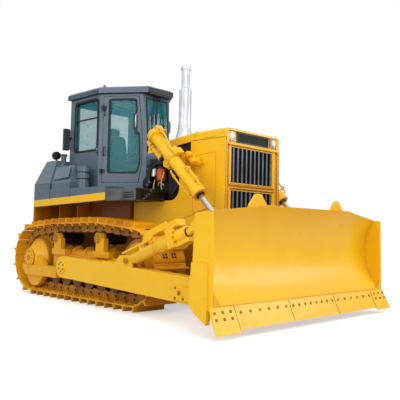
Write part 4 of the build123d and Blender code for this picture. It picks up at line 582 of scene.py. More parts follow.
def undercarriage():
    """Bolts, caps and rings on the running gear, the carrier drums, and the rear mudguards and hull plates in
    a darker yellow that paints their shade.
    """
    yellow, dark, disc, shade, roller = shapes(5)
    for side in SIDES:
        out = side.out
        hub = side(SPROCKET_X, HUB_Y, AXLE_Z)
        yellow.turned(((-4, 150), (8, 150), (14, 142)), hub, out, 40)
        disc.bolt_ring(hub + out * 12, out, 118, 12, 12, 12)
        disc.turned(((0, 45), (22, 45), (26, 38)), hub, out, 24)
        disc.bolt_ring(side(SPROCKET_X, 1130, AXLE_Z), out, 292, 18, 13, 12, pi / 18)
        disc.bolt_ring(side(SPROCKET_X, 1105, AXLE_Z), out, 322, 26, 11, 10)
        for face, way in ((1105, out), (895, -out)):
            wheel = side(IDLER_X, face, AXLE_Z)
            yellow.turned(((-2, 340), (6, 340), (6, 300), (1, 290)), wheel, way, 56)
            disc.turned(((0, 130), (26, 120), (30, 105)), wheel, way, 36)
            disc.bolt_ring(wheel + way * 28, way, 85, 8, 11, 10)
        for x, z in CARRIERS:
            cap = side(x, 1215, z)
            disc.turned(((-2, 70), (8, 70), (12, 62)), cap, out, 28)
            dark.bolt_ring(cap + out * 10, out, 48, 6, 8, 8)
            for y0, y1, r in DRUM:
                roller.rod(side(x, y0, z), side(x, y1, z), r, None, 36)
        for i in range(ROLLERS):
            cap = side(FIRST_ROLLER + i * (LAST_ROLLER - FIRST_ROLLER) / (ROLLERS - 1), 1145, 330.3)
            for dx, dz, r, high in ((58, 75, 15, 14), (30, 165, 12, 12)):
                for way in (-dx, dx):
                    dark.bolt(cap + Vector((way, 0, dz)), out, r, high)
        for x in (-380, -120, 200, 520, 800):
            yellow.disc(side(x, TRACK_Y, 745), AHEAD, 100, 22, 30)
        for dx in (-300, 0, 200):
            yellow.bolt(side(SUPPORT_X + dx, HUB_Y, 450), out, 14, 12)
        yellow.box(side(-1376, 1118, 1195), side(-1358, 1130, 1505))
        # The rear mudguard, the disc behind the sprocket and the hull's side plates under the fender take the
        # darker yellow: painted shade.
        shade.box(side(-1372, 590, 1205), side(-1362, 1130, 1548))
        shade.disc(side(SPROCKET_X, 640, AXLE_Z + 330), out, 300, 300, 48)
        for x in (-912, -348):
            shade.box(side(x, 640, 1210), side(x + 14, 900, 1500))
    yellow.made("gear_rings", WORK_YELLOW, bevel=3)
    dark.made("gear_bolts", BOLT_PAINTED_SHADE)
    # The caps take the links' darker yellow, a painted shade.
    disc.made("gear_caps", LINK_PAINTED_SHADE, bevel=2)
    shade.made("rear_mudguards", PAINTED_SHADE_YELLOW, bevel=2)
    roller.made("carrier_drums", ROLLER_BLACK, bevel=2)


# ---- Blade, arms and braces ----
def circle_through(a, b, c):
    """Centre and radius of the circle through three points."""
    spans = [p[0] ** 2 + p[1] ** 2 for p in (a, b, c)]
    double = 2 * (a[0] * (b[1] - c[1]) + b[0] * (c[1] - a[1]) + c[0] * (a[1] - b[1]))
    x = (spans[0] * (b[1] - c[1]) + spans[1] * (c[1] - a[1]) + spans[2] * (a[1] - b[1])) / double
    z = (spans[0] * (c[0] - b[0]) + spans[1] * (a[0] - c[0]) + spans[2] * (b[0] - a[0])) / double
    return x, z, hypot(a[0] - x, a[1] - z)


EDGE_TOP, EDGE_TIP = (3645.0, 336.0), (3757.0, 91.5)
EDGE_OUT = Vector((EDGE_TOP[1] - EDGE_TIP[1], 0, EDGE_TIP[0] - EDGE_TOP[0])).normalized()
EDGE_HALF = 1480
EDGE_PART = 2 * EDGE_HALF / 3
END_BIT = 400
# The hollow front: its arc, its top edge, and how that falls beyond the level middle.
SHELL_TOP, SHELL_LEVEL, SHELL_FALL = 1447.0, 905, 107 / 930
SHELL_X, SHELL_Z, SHELL_R = circle_through((3625.0, SHELL_TOP), (3378.0, 840.0), EDGE_TOP)


def on_edge(share, y):
    """A place on the front of the wear plates, a share of the way from their top to the tip."""
    x, z = (a + (b - a) * share for a, b in zip(EDGE_TOP, EDGE_TIP))
    return Vector((x, y, z))


def up_shell(y, low, high, off, steps=24):
    """Places up the blade's hollow front from one height to another, off in front of it."""
    heights = [low + (high - low) * k / steps for k in range(steps + 1)]
    return [Vector((SHELL_X - sqrt(SHELL_R ** 2 - (z - SHELL_Z) ** 2) + off, y, z)) for z in heights]


def blade():
    """The smooth front with its seams, the plough bolts, and the welds of the end plates."""
    heads, weld, seam, skin, joint = shapes(5)
    rows = []
    for i, count in enumerate((6, 8, 6)):
        rows += [(-EDGE_HALF + i * EDGE_PART + EDGE_PART * (k + 0.5) / count, 0.30) for k in range(count)]
    for sign in (-1, 1):
        ends = [sign * (EDGE_HALF + END_BIT * (k + 0.6) / 3.2) for k in range(3)]
        rows += [(y, share) for y in ends for share in (0.22, 0.50)]
    for y, share in rows:
        place = on_edge(share, y)
        heads.turned(((0, 18), (7, 18), (11, 13)), place, EDGE_OUT, 20)
        heads.turned(((10, 8), (12.5, 8)), place, EDGE_OUT, 6)
    columns = [up_shell(y, 338, SHELL_TOP - max(0.0, abs(y) - SHELL_LEVEL) * SHELL_FALL, 7, 40)
               for y in (-1793, -1350, -SHELL_LEVEL, -450, 0, 450, SHELL_LEVEL, 1350, 1793)]
    skin.skin([[*row, *(point - AHEAD * 12 for point in reversed(row))] for row in zip(*columns)])
    weld.bead([Vector((3641, y, 342)) for y in (-1792, 1792)], 9, 8)
    for side in SIDES:
        weld.bead(up_shell(side.sign * 1792, 346, 1335, 8), 10, 8)
        weld.bead([side(3600, 700, 1449), side(3600, 1020, 1440)], 8, 8)
        weld.slab([(0, 0), (110, 0), (0, 130)], side(3640, 1793, 346), -side.out, UP, AHEAD * 10)
        seam.bead(up_shell(side.sign * 1100, 340, 1424, 4.5), 3)
    # Thin beads in the darker yellow along the joints of the wear plates: painted shade for the gaps between
    # them.
    for i in range(4):
        joint.bead([on_edge(share, -EDGE_HALF + i * EDGE_PART) + EDGE_OUT * 0.5 for share in (0.01, 0.99)], 3)
    skin.made("blade_skin", YELLOW, "dozer")
    joint.made("edge_joints", PAINTED_SHADE_YELLOW, "dozer")
    heads.made("edge_bolts", BOLT_PAINTED_SHADE, "dozer", bevel=1)
    weld.made("blade_welds", WORK_YELLOW, "dozer")
    seam.made("blade_seams", YELLOW, "dozer")


BRACE_PIN, BRACE_HEAD = (1770.0, 718.0), (3285.0, 1262.0)
ARM_FACE = 1512
ARM_BOLTS = ((2740, 450), (2880, 330), (2740, 330), (3140, 440), (3220, 330))


def braces():
    """The tilt cylinder's rings, bolts, port and pipe, and the pins and bolts of both arms."""
    bolts, dark, yellow, seal = shapes(4)
    tilt = Axis(BRACE_PIN, BRACE_HEAD, SIDES[0], 1430)
    for first, last, r in ((560, 575, 84), (640, 650, 113), (876, 886, 113)):
        tilt.ring(yellow, first, last, r)
    bolts.bolt_ring(tilt(984), tilt.way, 104, 10, 11, 14, washer=False)
    bolts.bolt_ring(tilt(886), tilt.way, 110, 12, 8, 14, heads=-1, washer=False)
    tilt.ring(seal, 1160, 1172, 62)
    for aside in (-40, 40):
        bolts.bolt(tilt(1030, 205, aside), tilt.up, 13, 12)
    foot, head = tilt(640, 180, 45), tilt(1000, 150, 45)
    yellow.tube([foot, (foot + head) / 2 + tilt.out * 15 + UP * 20, head], 13)
    for s in (150, 330, 520):
        for aside in (-50, 50):
            bolts.bolt(tilt(s, 130, aside), tilt.up, 12, 12)
    for side in SIDES:
        dark.turned(((0, 40), (10, 40), (14, 34)), side(BRACE_PIN[0], ARM_FACE, BRACE_PIN[1]), side.out, 24)
        dark.turned(((0, 28), (8, 28), (12, 22)), side(2810, ARM_FACE, 395), side.out, 20)
        bolts.bolt_ring(side(190, 1505, 545), side.out, 66, 6, 11, 12, pi / 6)
        for x, z in ARM_BOLTS:
            bolts.bolt(side(x, ARM_FACE, z), side.out, 13, 12)
    bolts.made("brace_bolts", BOLT_PAINTED_SHADE, "dozer")
    # The pin caps take the darker yellow, a painted shade.
    dark.made("brace_pins", PAINTED_SHADE_YELLOW, "dozer", bevel=2)
    yellow.made("brace_rings", WORK_YELLOW, "dozer", bevel=2)
    seal.made("brace_seal", BLACK, "dozer")


# ---- Cab ----
DOOR_TURN = atan2(700.0 - 240.0, 598.0 + 83.0)
WINDOW = ((172, 2058), (660, 2058), (706, 2223), (686, 2690), (598, 2780), (598, 2990), (638, 3080),
          (618, 3265), (172, 3265))


class Wall:
    """The slanted wall that carries the door on one side; called, it gives the place along and up it."""

    def __init__(self, side):
        self.origin = side(-83, 700, 0)
        self.way = Vector((cos(DOOR_TURN), -side.sign * sin(DOOR_TURN), 0))
        self.out = Vector((sin(DOOR_TURN), side.sign * cos(DOOR_TURN), 0))

    def __call__(self, u, z, off=0.0):
        return self.origin + self.way * u + UP * z + self.out * off

    def plate(self, shape, outline, low, high):
        shape.slab(outline, self(0, 0, low), self.way, UP, self.out * (high - low))

    def band(self, shape, outline, outward, inward, low, high):
        shape.band(outline, 30, outward, inward, self(0, 0, low), self.way, UP, self.out * (high - low))


def doors():
    """Window rubbers, hinges, latches and handles of both doors; they swing with the doors."""
    for side in SIDES:
        body = f"door_{side.name}"
        wall = Wall(side)
        rubber, black, bright = shapes(3)
        wall.band(rubber, WINDOW, 19, 9, -1, 6)
        wall.band(rubber, WINDOW, 12, 2, -56, -50)
        for z in (2080, 3130):
            black.turned(((0, 20), (2, 23), (62, 23), (64, 20)), wall(55, z - 32, 24), UP, 20)
            wall.plate(black, rectangle(66, 112, z - 27, z + 27), -1, 19)
            for dz in (-15, 15):
                black.bolt(wall(96, z + dz, 19), wall.out, 7, 6)
        grip = ((2800, 0), (2800, 44), (3000, 44), (3000, 0))
        bright.tube([wall(634, z, off) for z, off in grip], 13, 12, 2)
        wall.plate(black, rounded(rectangle(612, 658, 2690, 2800), 14), -1, 10)
        latch = ((96, 2330, 2), (100, 2335, 50), (100, 2470, 50), (96, 2475, 2))
        black.tube([wall(*place) for place in latch], 10, 10, 2)
        black.bead([wall(88, 2990, 12), wall(90, 3160, 14)], 8, 8)
        rubber.made(f"door_rubber_{side.name}", RUBBER, body)
        black.made(f"door_fittings_{side.name}", BLACK, body, bevel=2)
        bright.made(f"door_handle_{side.name}", STEEL, body)


QUARTER_LIGHT = rectangle(-800, -130, 2440, 3290)
MIRROR = rounded(rectangle(-64, 64, -190, 190), 30)
# Each wiper's pivot, and how far its arm reaches sideways.
WIPERS = ((-60, -90), (0, -60), (60, 40))
RAIN_RAIL = ((-943, 712), (-943, 755), (-60, 742), (640, 262), (630, 215), (-83, 700))
SCREEN_X, SCREEN_BEND, SCREEN_TOP = 598, 2650, 3270
SCREEN_LEAN = 72.0 / (3372.0 - SCREEN_BEND)
SCREEN = ((SCREEN_X, 2420), (SCREEN_X, SCREEN_BEND),
          (SCREEN_X - SCREEN_LEAN * (SCREEN_TOP - SCREEN_BEND), SCREEN_TOP))


def screen_strip(shape, y0, y1, near, far):
    """A layer of the bent windscreen between two Ys, from near to far in front of its frame."""
    section = ((near, y0), (far, y0), (far, y1), (near, y1))
    shape.skin([[(x + dx, y, z) for dx, y in section] for x, z in SCREEN])


def cab():
    """Rubbers round the fixed windows, latches, roof edge, rain rail, wipers and mirrors."""
    rubber, black, bright, grey, pane, mirror = shapes(6)
    for side in SIDES:
        out = side.out
        rubber.rod(side(-800, 710, 2975), side(-130, 710, 2975), 13, None, 10)
        rubber.band(QUARTER_LIGHT, 70, 21, 11, side(0, 708, 0), AHEAD, UP, out * 6)
        rubber.band(QUARTER_LIGHT, 70, 4, 22, side(0, 668, 0), AHEAD, UP, out * 4)
        for z in (2560, 2700, 2860, 3020, 3160):
            black.disc(side(-470, 666, z), out, 11, 6, 12)
        grey.box(side(-140, 704, 2400), side(-108, 716, 2432))
        bright.turned(((0, 22), (12, 20)), side(-128, 704, 2440), out, 20)
        black.turned(((0, 26), (10, 24)), side(-116, 705, 2395), out, 20)
        for z in (3387, 3405, 3423, 3441):
            grey.rod(side(-985, 757, z), side(-75, 746, z), 6, None, 8)
        for x in range(-960, -80, 60):
            grey.box(side(x, 750, 3384), side(x + 6, 763, 3444))
        Wall(side).plate(black, rectangle(-10, 812, 3358, 3371), 0, 5)
        black.box(side(-943, 713, 3360), side(-83, 719, 3371))
        black.skin([[side(x, y, z) for x, y in RAIN_RAIL] for z in (3366, 3373)])
        mirror.slab(MIRROR, side(-935, 797, 2670), out, UP, AHEAD * 30)
        black.tube([side(-900, 712, 2700), side(-890, 760, 2700), side(-920, 797, 2690)], 12, 10, 2)
        bright.slab([(a * 0.86, b * 0.90) for a, b in MIRROR], side(-937, 797, 2670), out, UP, AHEAD * 3)
    screen_strip(rubber, -232, -212, 1, 12)
    screen_strip(rubber, 212, 232, 1, 12)
    for x, z in ((SCREEN[0][0], 2395), (SCREEN[-1][0], 3278)):
        rubber.box((x - 2, -232, z), (x + 12, 232, z + 24))
    screen_strip(pane, -214, 214, 2, 8)
    black.box((622, -268, 3372), (650, 268, 3452))
    black.box((540, -240, 3350), (640, 240, 3373))
    for y, turn in WIPERS:
        black.tube([(552, y, 3345), (578, y + turn * 0.3, 3150), (618, y + turn, 2850)], 10, 8, 2)
        black.bead([(602, y + turn - 14, 3040), (621, y + turn + 6, 2660)], 12, 8)
        black.turned(((0, 16), (25, 14)), (552, y, 3345), AHEAD, 14)
    pane.made("cab_front_pane", GLASS)
    mirror.made("mirror_shells", MIRROR_GREY, bevel=8)
    grey.made("cab_ribs", CAB_GREY, bevel=2)
    rubber.made("cab_rubber", RUBBER)
    black.made("cab_fittings", BLACK, bevel=2)
    bright.made("cab_bright", STEEL)


def smooth_block(name, low, high, corner, bend=None):
    """A padded block for the seat: a finely divided cube with rounded edges, bent into shape."""
    mesh = bmesh.new()
    bmesh.ops.create_cube(mesh, size=1.0)
    bmesh.ops.subdivide_edges(mesh, edges=mesh.edges, cuts=7, use_grid_fill=True)
    centre, half = (Vector(low) + Vector(high)) / 2, (Vector(high) - Vector(low)) / 2
    for vert in mesh.verts:
        unit = vert.co * 2
        outer = Vector([share * reach for share, reach in zip(unit, half)])
        inner = Vector([max(corner - reach, min(reach - corner, far)) for far, reach in zip(outer, half)])
        place = centre + inner + (outer - inner).normalized() * corner
        vert.co = in_metres(bend(place, unit) if bend else place)
    piece = smooth_piece(name, mesh, SEAT_CLOTH)
    refine = piece.modifiers.new("refine", "SUBSURF")
    refine.levels = refine.render_levels = 1
    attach(piece, "machine")
    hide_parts("seat")


def seat():
    """Cushion, backrest and headrest with sewn seams, on a sprung base with armrests."""
    (back, right, floor), (ahead, left, _) = corners("seat")

    def dished(place, unit):
        """The top hollowed between raised sides, with a seam along each side."""
        if unit.z > 0.9:
            seam = abs(abs(unit.y) - 0.62) < 0.09
            place += UP * (12 * abs(unit.y) ** 3 - 22 * (1 - unit.y ** 2) * (1 - unit.x ** 2) - 6 * seam)
        return place

    def backed(place, unit):
        """Leaning back, narrower at the top, the front hollowed and seamed."""
        share = (place.z - floor - 450) / 660
        place.x -= 80 * share
        if unit.x > 0.9:
            seam = abs(abs(unit.y) - 0.6) < 0.09
            place.x += 18 * abs(unit.y) ** 3 - 30 * (1 - unit.y ** 2) - 6 * seam
        place.y *= 1 - 0.16 * max(0.0, share) ** 2
        return place

    smooth_block("seat_cushion", (back + 85, -245, floor + 300), (ahead, 245, floor + 450), 45, dished)
    smooth_block("seat_back", (back + 80, -235, floor + 420), (back + 215, 235, floor + 980), 50, backed)
    smooth_block("seat_head", (back + 10, -125, floor + 970), (back + 105, 125, floor + 1115), 42)
    base, arms = shapes(2)
    base.box((back + 120, right + 100, floor), (ahead - 80, left - 100, floor + 60))
    for z in range(70, 250, 45):
        base.box((back + 150, -140, floor + z), (ahead - 110, 140, floor + z + 32))
    base.box((back + 100, -200, floor + 250), (ahead - 50, 200, floor + 300))
    for sign in (-1, 1):
        base.rod((back + 60, sign * 60, floor + 920), (back + 55, sign * 60, floor + 1000), 8)
        rest = (back + 120, sign * 280 - 30, floor + 620)
        arms.slab(rounded(rectangle(0, 340, 0, 50), 20), rest, AHEAD, UP, LEFT * 60)
    base.made("seat_base", BLACK, bevel=4, replaces=("seat",))
    arms.made("seat_arms", PLASTIC, bevel=6, replaces=("seat",))


def cab_inside():
    """Knobs and boots of the levers, buttons, a dash hood with dials, and a floor mat."""
    dark, face, bright = shapes(3)
    for side in SIDES:
        dark.turned(((0, 28), (50, 30), (80, 18)), side(-120, 410, 2530), UP, 16)
        dark.turned(((0, 60), (30, 45), (60, 24)), side(-120, 410, 2390), UP, 20)
        for x in range(-560, -319, 60):
            bright.turned(((0, 11), (12, 10)), side(x, 410, 2390), UP, 12)
    dark.box((382, -165, 2528), (470, 165, 2560))
    for y in (-100, 0, 100):
        face.disc((380, y, 2470), (-1, 0, 0.3), 34, 4, 20)
    dark.box((-540, -300, 1832), (360, 300, 1838))
    dark.made("cab_knobs", BLACK, bevel=3)
    face.made("cab_dials", LENS)
    bright.made("cab_buttons", LINE_YELLOW)


# ---- Hood, radiator guard, grilles and lamps ----
GRILLES = ((1772, 2296), (1100, 1706))
SEAM_Y, EDGE_Y, SKIN_Y = 582.5, 583, 582
HOOD_TOP, HOOD_JOINT, HOOD_FALL = 2527, 2074, 114 / 1022
PANEL = rounded(((2048, 1370), (2481, 1480), (2481, 2214), (2048, 2180)), 35)
GUARD_BOLTS = ((2060, 2330), (2060, 2280), (2620, 2300), (2620, 1700), (2620, 1100), (1830, 1180),
               (1960, 900), (2300, 900), (2540, 900), (2060, 2240))


def face_band(shape, x, outline, outward, inward, thick, corner):
    """A frame standing out from a face that looks forward."""
    shape.band(outline, corner, outward, inward, AHEAD * x, LEFT, UP, AHEAD * thick)


def front():
    """Lamp recess with its frame, the grilles' bars and trims, hinges, and side strips in a darker yellow
    that paints the shade of their recesses.
    """
    yellow, black, grey, bright, recess_shade = shapes(5)
    face_band(yellow, 2640, rectangle(-548, 548, 2318, 2500), 14, 6, 26, 34)
    black.box((2636, -345, 2344), (2647, 345, 2492))
    yellow.box((2628, -545, 2322), (2636, 545, 2498))
    face_band(grey, 2646, rectangle(-338, 338, 2350, 2486), 0, 8, 5, 16)
    for side in SIDES:
        lamp = side(2640, 455, 2423)
        bright.turned(((0, 66), (16, 66), (22, 54), (25, 30)), lamp, AHEAD, 36)
        yellow.turned(((-6, 78), (8, 78), (10, 72), (0, 68)), lamp, AHEAD, 36)
        for k in range(4):
            a = pi / 4 + k * pi / 2
            bright.bolt(lamp + Vector((12, cos(a) * 84, sin(a) * 78)), AHEAD, 9, 8)
        black.bead([side(2637, 372, z) for z in (2330, 2492)], 4)
        # Strips in the darker yellow: painted shade for the recesses down the guard's sides.
        recess_shade.box(side(2650, 536, 1110), side(2661, 552, 2290))
        recess_shade.box(side(2655, 568, 780), side(2664, 581, 2320))
    for z0, z1 in GRILLES:
        face_band(yellow, 2618, rectangle(-478, 478, z0 - 6, z1 + 8), 16, 8, 30, 26)
        face_band(yellow, 2618, rectangle(-452, 452, z0 + 18, z1 - 16), 9, 5, 24, 16)
        black.box((2590, -470, z0), (2606, 470, z1))
        for y in range(-405, 406, 90):
            for shape, x0, x1, y0, y1 in ((black, 2606, 2640, -14, 14), (grey, 2640, 2646, -15, 15),
                                          (grey, 2606, 2644, 12, 16)):
                shape.box((x0, y + y0, z0 + 24), (x1, y + y1, z1 - 22))
    for z in (1180, 1420, 1620, 1876, 2040, 2213):
        yellow.rod((2636, 556, z - 34), (2636, 556, z + 34), 16, None, 14)
        bright.bolt((2660, -556, z), AHEAD, 10, 9)
    # Strips in the darker yellow between the grilles: painted shade for the gap.
    for z in (1712, 1756):
        recess_shade.box((2630, -480, z), (2662, 480, z + 10))
    yellow.made("grille_trims", YELLOW, bevel=4)
    black.made("grille_black", CORE_BLACK)
    grey.made("grille_bars", GRILLE_GREY, bevel=1)
    bright.made("lamp_glasses", LENS, bevel=2)
    recess_shade.made("guard_strips", PAINTED_SHADE_YELLOW, bevel=2)


def sheet_metal():
    """Door outlines, seams, knobs and bolts on the hood and the guard's sides; the outlines and seams are
    beads in a darker yellow that paints the shade of the gaps.
    """
    seam, bolts, edge = shapes(3)
    for side in SIDES:
        def run(y, *points):
            """Places on this side's plane at y."""
            return [side(x, y, z) for x, z in points]

        # Beads in the darker yellow: painted shade along the gaps of doors and panels.
        seam.bead(run(SEAM_Y, *PANEL, PANEL[0]), 3)
        edge.tube(run(EDGE_Y, (2056, 2185), (2440, 2213), (2470, 2206), (2474, 2160), (2474, 1500)), 5, 8, 2)
        seam.bead(run(SEAM_Y, (1769, 1262), (1769, 770)))
        seam.bead(run(SEAM_Y, (1714, 1262), (2053, 1356), (2481, 1470)))
        seam.bead(run(EDGE_Y, (2030, 2396), (2475, 2418)), 4)
        seam.bead(run(EDGE_Y, (1150, 1189), (1520, 1216)), 4)
        over = ((EDGE_Y, 2400), (EDGE_Y, 2490), (560, 2524), (530, HOOD_TOP))
        seam.bead([side(HOOD_JOINT, y, z) for y, z in over], 3)
        edge.bead(run(EDGE_Y, (HOOD_JOINT, 2404), (2640, 2404)), 5, 8)
        bolts.turned(((0, 16), (10, 14), (12, 8)), side(2258, SKIN_Y, 2067), side.out, 18)
        for x, z in GUARD_BOLTS:
            bolts.bolt(side(x, SKIN_Y, z), side.out, 10, 8)
        for x in (1120, 1500, 1900, 2300, 2600):
            bolts.bolt(side(x, 500, HOOD_TOP - 2 - max(0.0, HOOD_JOINT - x) * HOOD_FALL), UP, 10, 8)
    for x in (HOOD_JOINT, 2500):
        seam.bead([(x, -548, HOOD_TOP), (x, 548, HOOD_TOP)], 3)
    seam.made("sheet_seams", PAINTED_SHADE_YELLOW)
    bolts.made("sheet_bolts", YELLOW, bevel=1)
    edge.made("sheet_edges", YELLOW)


STACK_X = 1230
STACK = ((2520, 138), (2600, 134), (2700, 110), (2733, 101), (2745, 100), (3330, 100), (3360, 96.5),
         (3385, 72), (3400, 66), (3676, 66), (3680, 79), (3728, 80), (3732, 74))


def exhaust():
    """The stepped exhaust with its bands, welded seams, dark mouth and foot bolts."""
    metal, dark = shapes(2)
    metal.turned(STACK, (STACK_X, 0, 0), UP, 64)
    for z in (2760, 3320):
        metal.turned(((0, 102.5), (8, 103.5), (16, 102.5)), (STACK_X, 0, z), UP, 64)
    dark.disc((STACK_X, 0, 3731.8), UP, 56, 1.2, 40)
    metal.bead([(STACK_X - 101, -14, 2800), (STACK_X - 101, -14, 3310)], 4)
    metal.bead([(1196, -97, 2790), (1196, -97, 3300)], 4)
    for k in range(12):
        a = 2 * pi * k / 12
        metal.bolt((STACK_X + 152 * cos(a), 152 * sin(a), 2506 + 14 * cos(a)), UP, 9, 12)
    metal.made("exhaust_stack", EXHAUST, replaces=("exhaust",))
    dark.made("exhaust_mouth", CORE_BLACK, replaces=("exhaust",))


# ---- Lift cylinders, engine bay, tanks, steps ----
TRUNNION, ROD_EYE = (1940.0, 2130.0), (3180.0, 975.0)
# The collars and seals of a barrel: from and to along it, and the radius at each end.
BARREL_RINGS = ((-528, -505, 78, 90), (-505, -470, 107, 107), (-470, -452, 98, 98), (-6, 8, 88, 88),
                (668, 690, 92, 92), (690, 716, 102, 102), (730, 756, 102, 102))
BARREL_SEALS = ((770, 780, 60, 60), (756, 771, 66, 60))

# The pipes on a barrel: radius, and places along it, above it and aside.
BARREL_PIPES = (
    (14, ((-440, 128, 40), (-380, 165, 40), (-250, 150, 44), (-120, 122, 50), (-30, 112, 60), (60, 150, 66),
          (90, 118, 70))),
    (15, ((330, 96, 40), (352, 128, 44), (420, 136, 46), (640, 134, 46), (690, 108, 36))),
    (12, ((150, -112, 50), (220, -128, 52), (560, -126, 52), (676, -104, 40))))


def lift_cylinders():
    """Caps, ports, pipes with clamps, gland bolts and seals of both lift cylinders."""
    for side in SIDES:
        yellow, bolts, seal, hose = shapes(4)
        barrel = Axis(TRUNNION, ROD_EYE, side, 890)
        for shape, rows in ((yellow, BARREL_RINGS), (seal, BARREL_SEALS)):
            for row in rows:
                barrel.ring(shape, *row, 40)
        bolts.bolt_ring(barrel(756), barrel.way, 82, 8, 13, 16, 0.4, washer=False)
        bolts.bolt_ring(barrel(690), barrel.way, 94, 8, 11, 14, 0.4, heads=-1, washer=False)
        bolts.bolt_ring(barrel(-505), barrel.way, 92, 8, 10, 12, 0.2, heads=-1, washer=False)
        for aside in (52, -52):
            yellow.rod(barrel(-440, 60, aside * 0.6), barrel(-440, 150, aside * 0.9), 26, 22, 20)
            bolts.turned(((0, 30), (14, 30), (18, 24)), barrel(-440, 148, aside * 0.9), barrel.up, 6)
        for r, places in BARREL_PIPES:
            yellow.tube([barrel(*place) for place in places], r, 12, 2)
        for s in (400, 600):
            yellow.rod(barrel(s - 16, 136, 46), barrel(s + 16, 136, 46), 25)
            yellow.rod(barrel(s, 80, 36), barrel(s, 130, 46), 14, None, 12)
            bolts.bolt(barrel(s, 158, 46), barrel.up, 10, 12)
        for s in (260, 500):
            yellow.rod(barrel(s - 14, -126, 52), barrel(s + 14, -126, 52), 21)
        yellow.rod(barrel(-480, -100, 30), barrel(-480, -168, 30), 30, 24, 20)
        yellow.rod(barrel(-430, -150), barrel(-405, -150), 47, None, 24)
        yellow.rod(barrel(-190, -150), barrel(-170, -150), 43, None, 24)
        hose.rod(barrel(-170, -150), barrel(-110, -148), 25, None, 20)
        for s in (-128, -150):
            hose.rod(barrel(s, -149), barrel(s + 10, -149), 30, None, 20)
        for sign in (-1, 1):
            bolts.turned(((0, 46), (10, 46), (14, 36)), barrel(0, 0, sign * 96), side.out * sign, 24)
            lobe = barrel(0, sign * 118)
            yellow.rod(lobe - barrel.way * 62, lobe + barrel.way * 66, 46, 40, 24)
            yellow.rod(lobe - barrel.up * sign * 20, lobe + barrel.up * sign * 30, 52, 46, 24)
            bolts.bolt(lobe + barrel.way * 64, barrel.way, 18, 14)
        body = f"barrel_{side.name}"
        yellow.made(f"lift_fittings_{side.name}", YELLOW, body, bevel=2)
        bolts.made(f"lift_bolts_{side.name}", WORK_YELLOW, body, bevel=1)
        seal.made(f"lift_seal_{side.name}", BLACK, body)
        hose.made(f"lift_hose_{side.name}", HOSE, body)


YOKE_TURN = -0.75
YOKE_CAP = rounded(rectangle(-42, 42, -30, 30), 12)
YOKE_ARM = ((2000, 2215), (2060, 2225), (2260, 2070), (2240, 2030), (2180, 2040), (2000, 2150))


def yokes():
    """Bolted caps on the arms that carry the lift cylinders."""
    yellow, bolts = shapes(2)
    u = Vector((cos(YOKE_TURN), 0, sin(YOKE_TURN)))
    v = Vector((-sin(YOKE_TURN), 0, cos(YOKE_TURN)))
    for side in SIDES:
        for x, z in ((2131, 2180), (2213, 2085)):
            yellow.slab(YOKE_CAP, side(x, 700, z), u, v, side.out * 85)
            for a in (-22, 22):
                bolts.bolt(side(x, 787, z) + u * a, side.out, 14, 12)
        yellow.slab(YOKE_ARM, side(0, 620, 0), AHEAD, UP, side.out * 85)
    yellow.made("yoke_caps", YELLOW, bevel=5)
    bolts.made("yoke_bolts", WORK_YELLOW, bevel=1)


# Hoses and lines of the engine bay: points, radius, sides and rounds of smoothing.
BAY_LINES = (
    (((1134, 500, 1891), (1120, 520, 1780), (1150, 520, 1585)), 10, 10, 2),
    (((1350, 505, 2000), (1290, 520, 1838), (1330, 520, 1700), (1355, 510, 1580)), 10, 10, 2),
    (((1200, 490, 1800), (1230, 500, 1860), (1350, 500, 1800)), 8, 10, 2))
BAY_HOSES = (
    (((1480, 480, 2120), (1331, 540, 2150), (1125, 545, 2100), (1040, 545, 1960), (1060, 545, 1810),
      (980, 545, 1735), (820, 540, 1700)), 30, 16, 3),
    (((1120, 470, 2180), (1010, 500, 2140), (960, 520, 1950), (980, 520, 1750)), 20, 14, 3),
    (((1500, 520, 1600), (1620, 530, 1700), (1700, 470, 1900)), 16, 12, 3))
COVER_BOLTS = ((1450, 1610), (1600, 1600), (1700, 1640), (1450, 2040), (1700, 2050))
BELT_COVER = rounded(((1424, 1580), (1750, 1580), (1750, 2080), (1424, 2070)), 50)


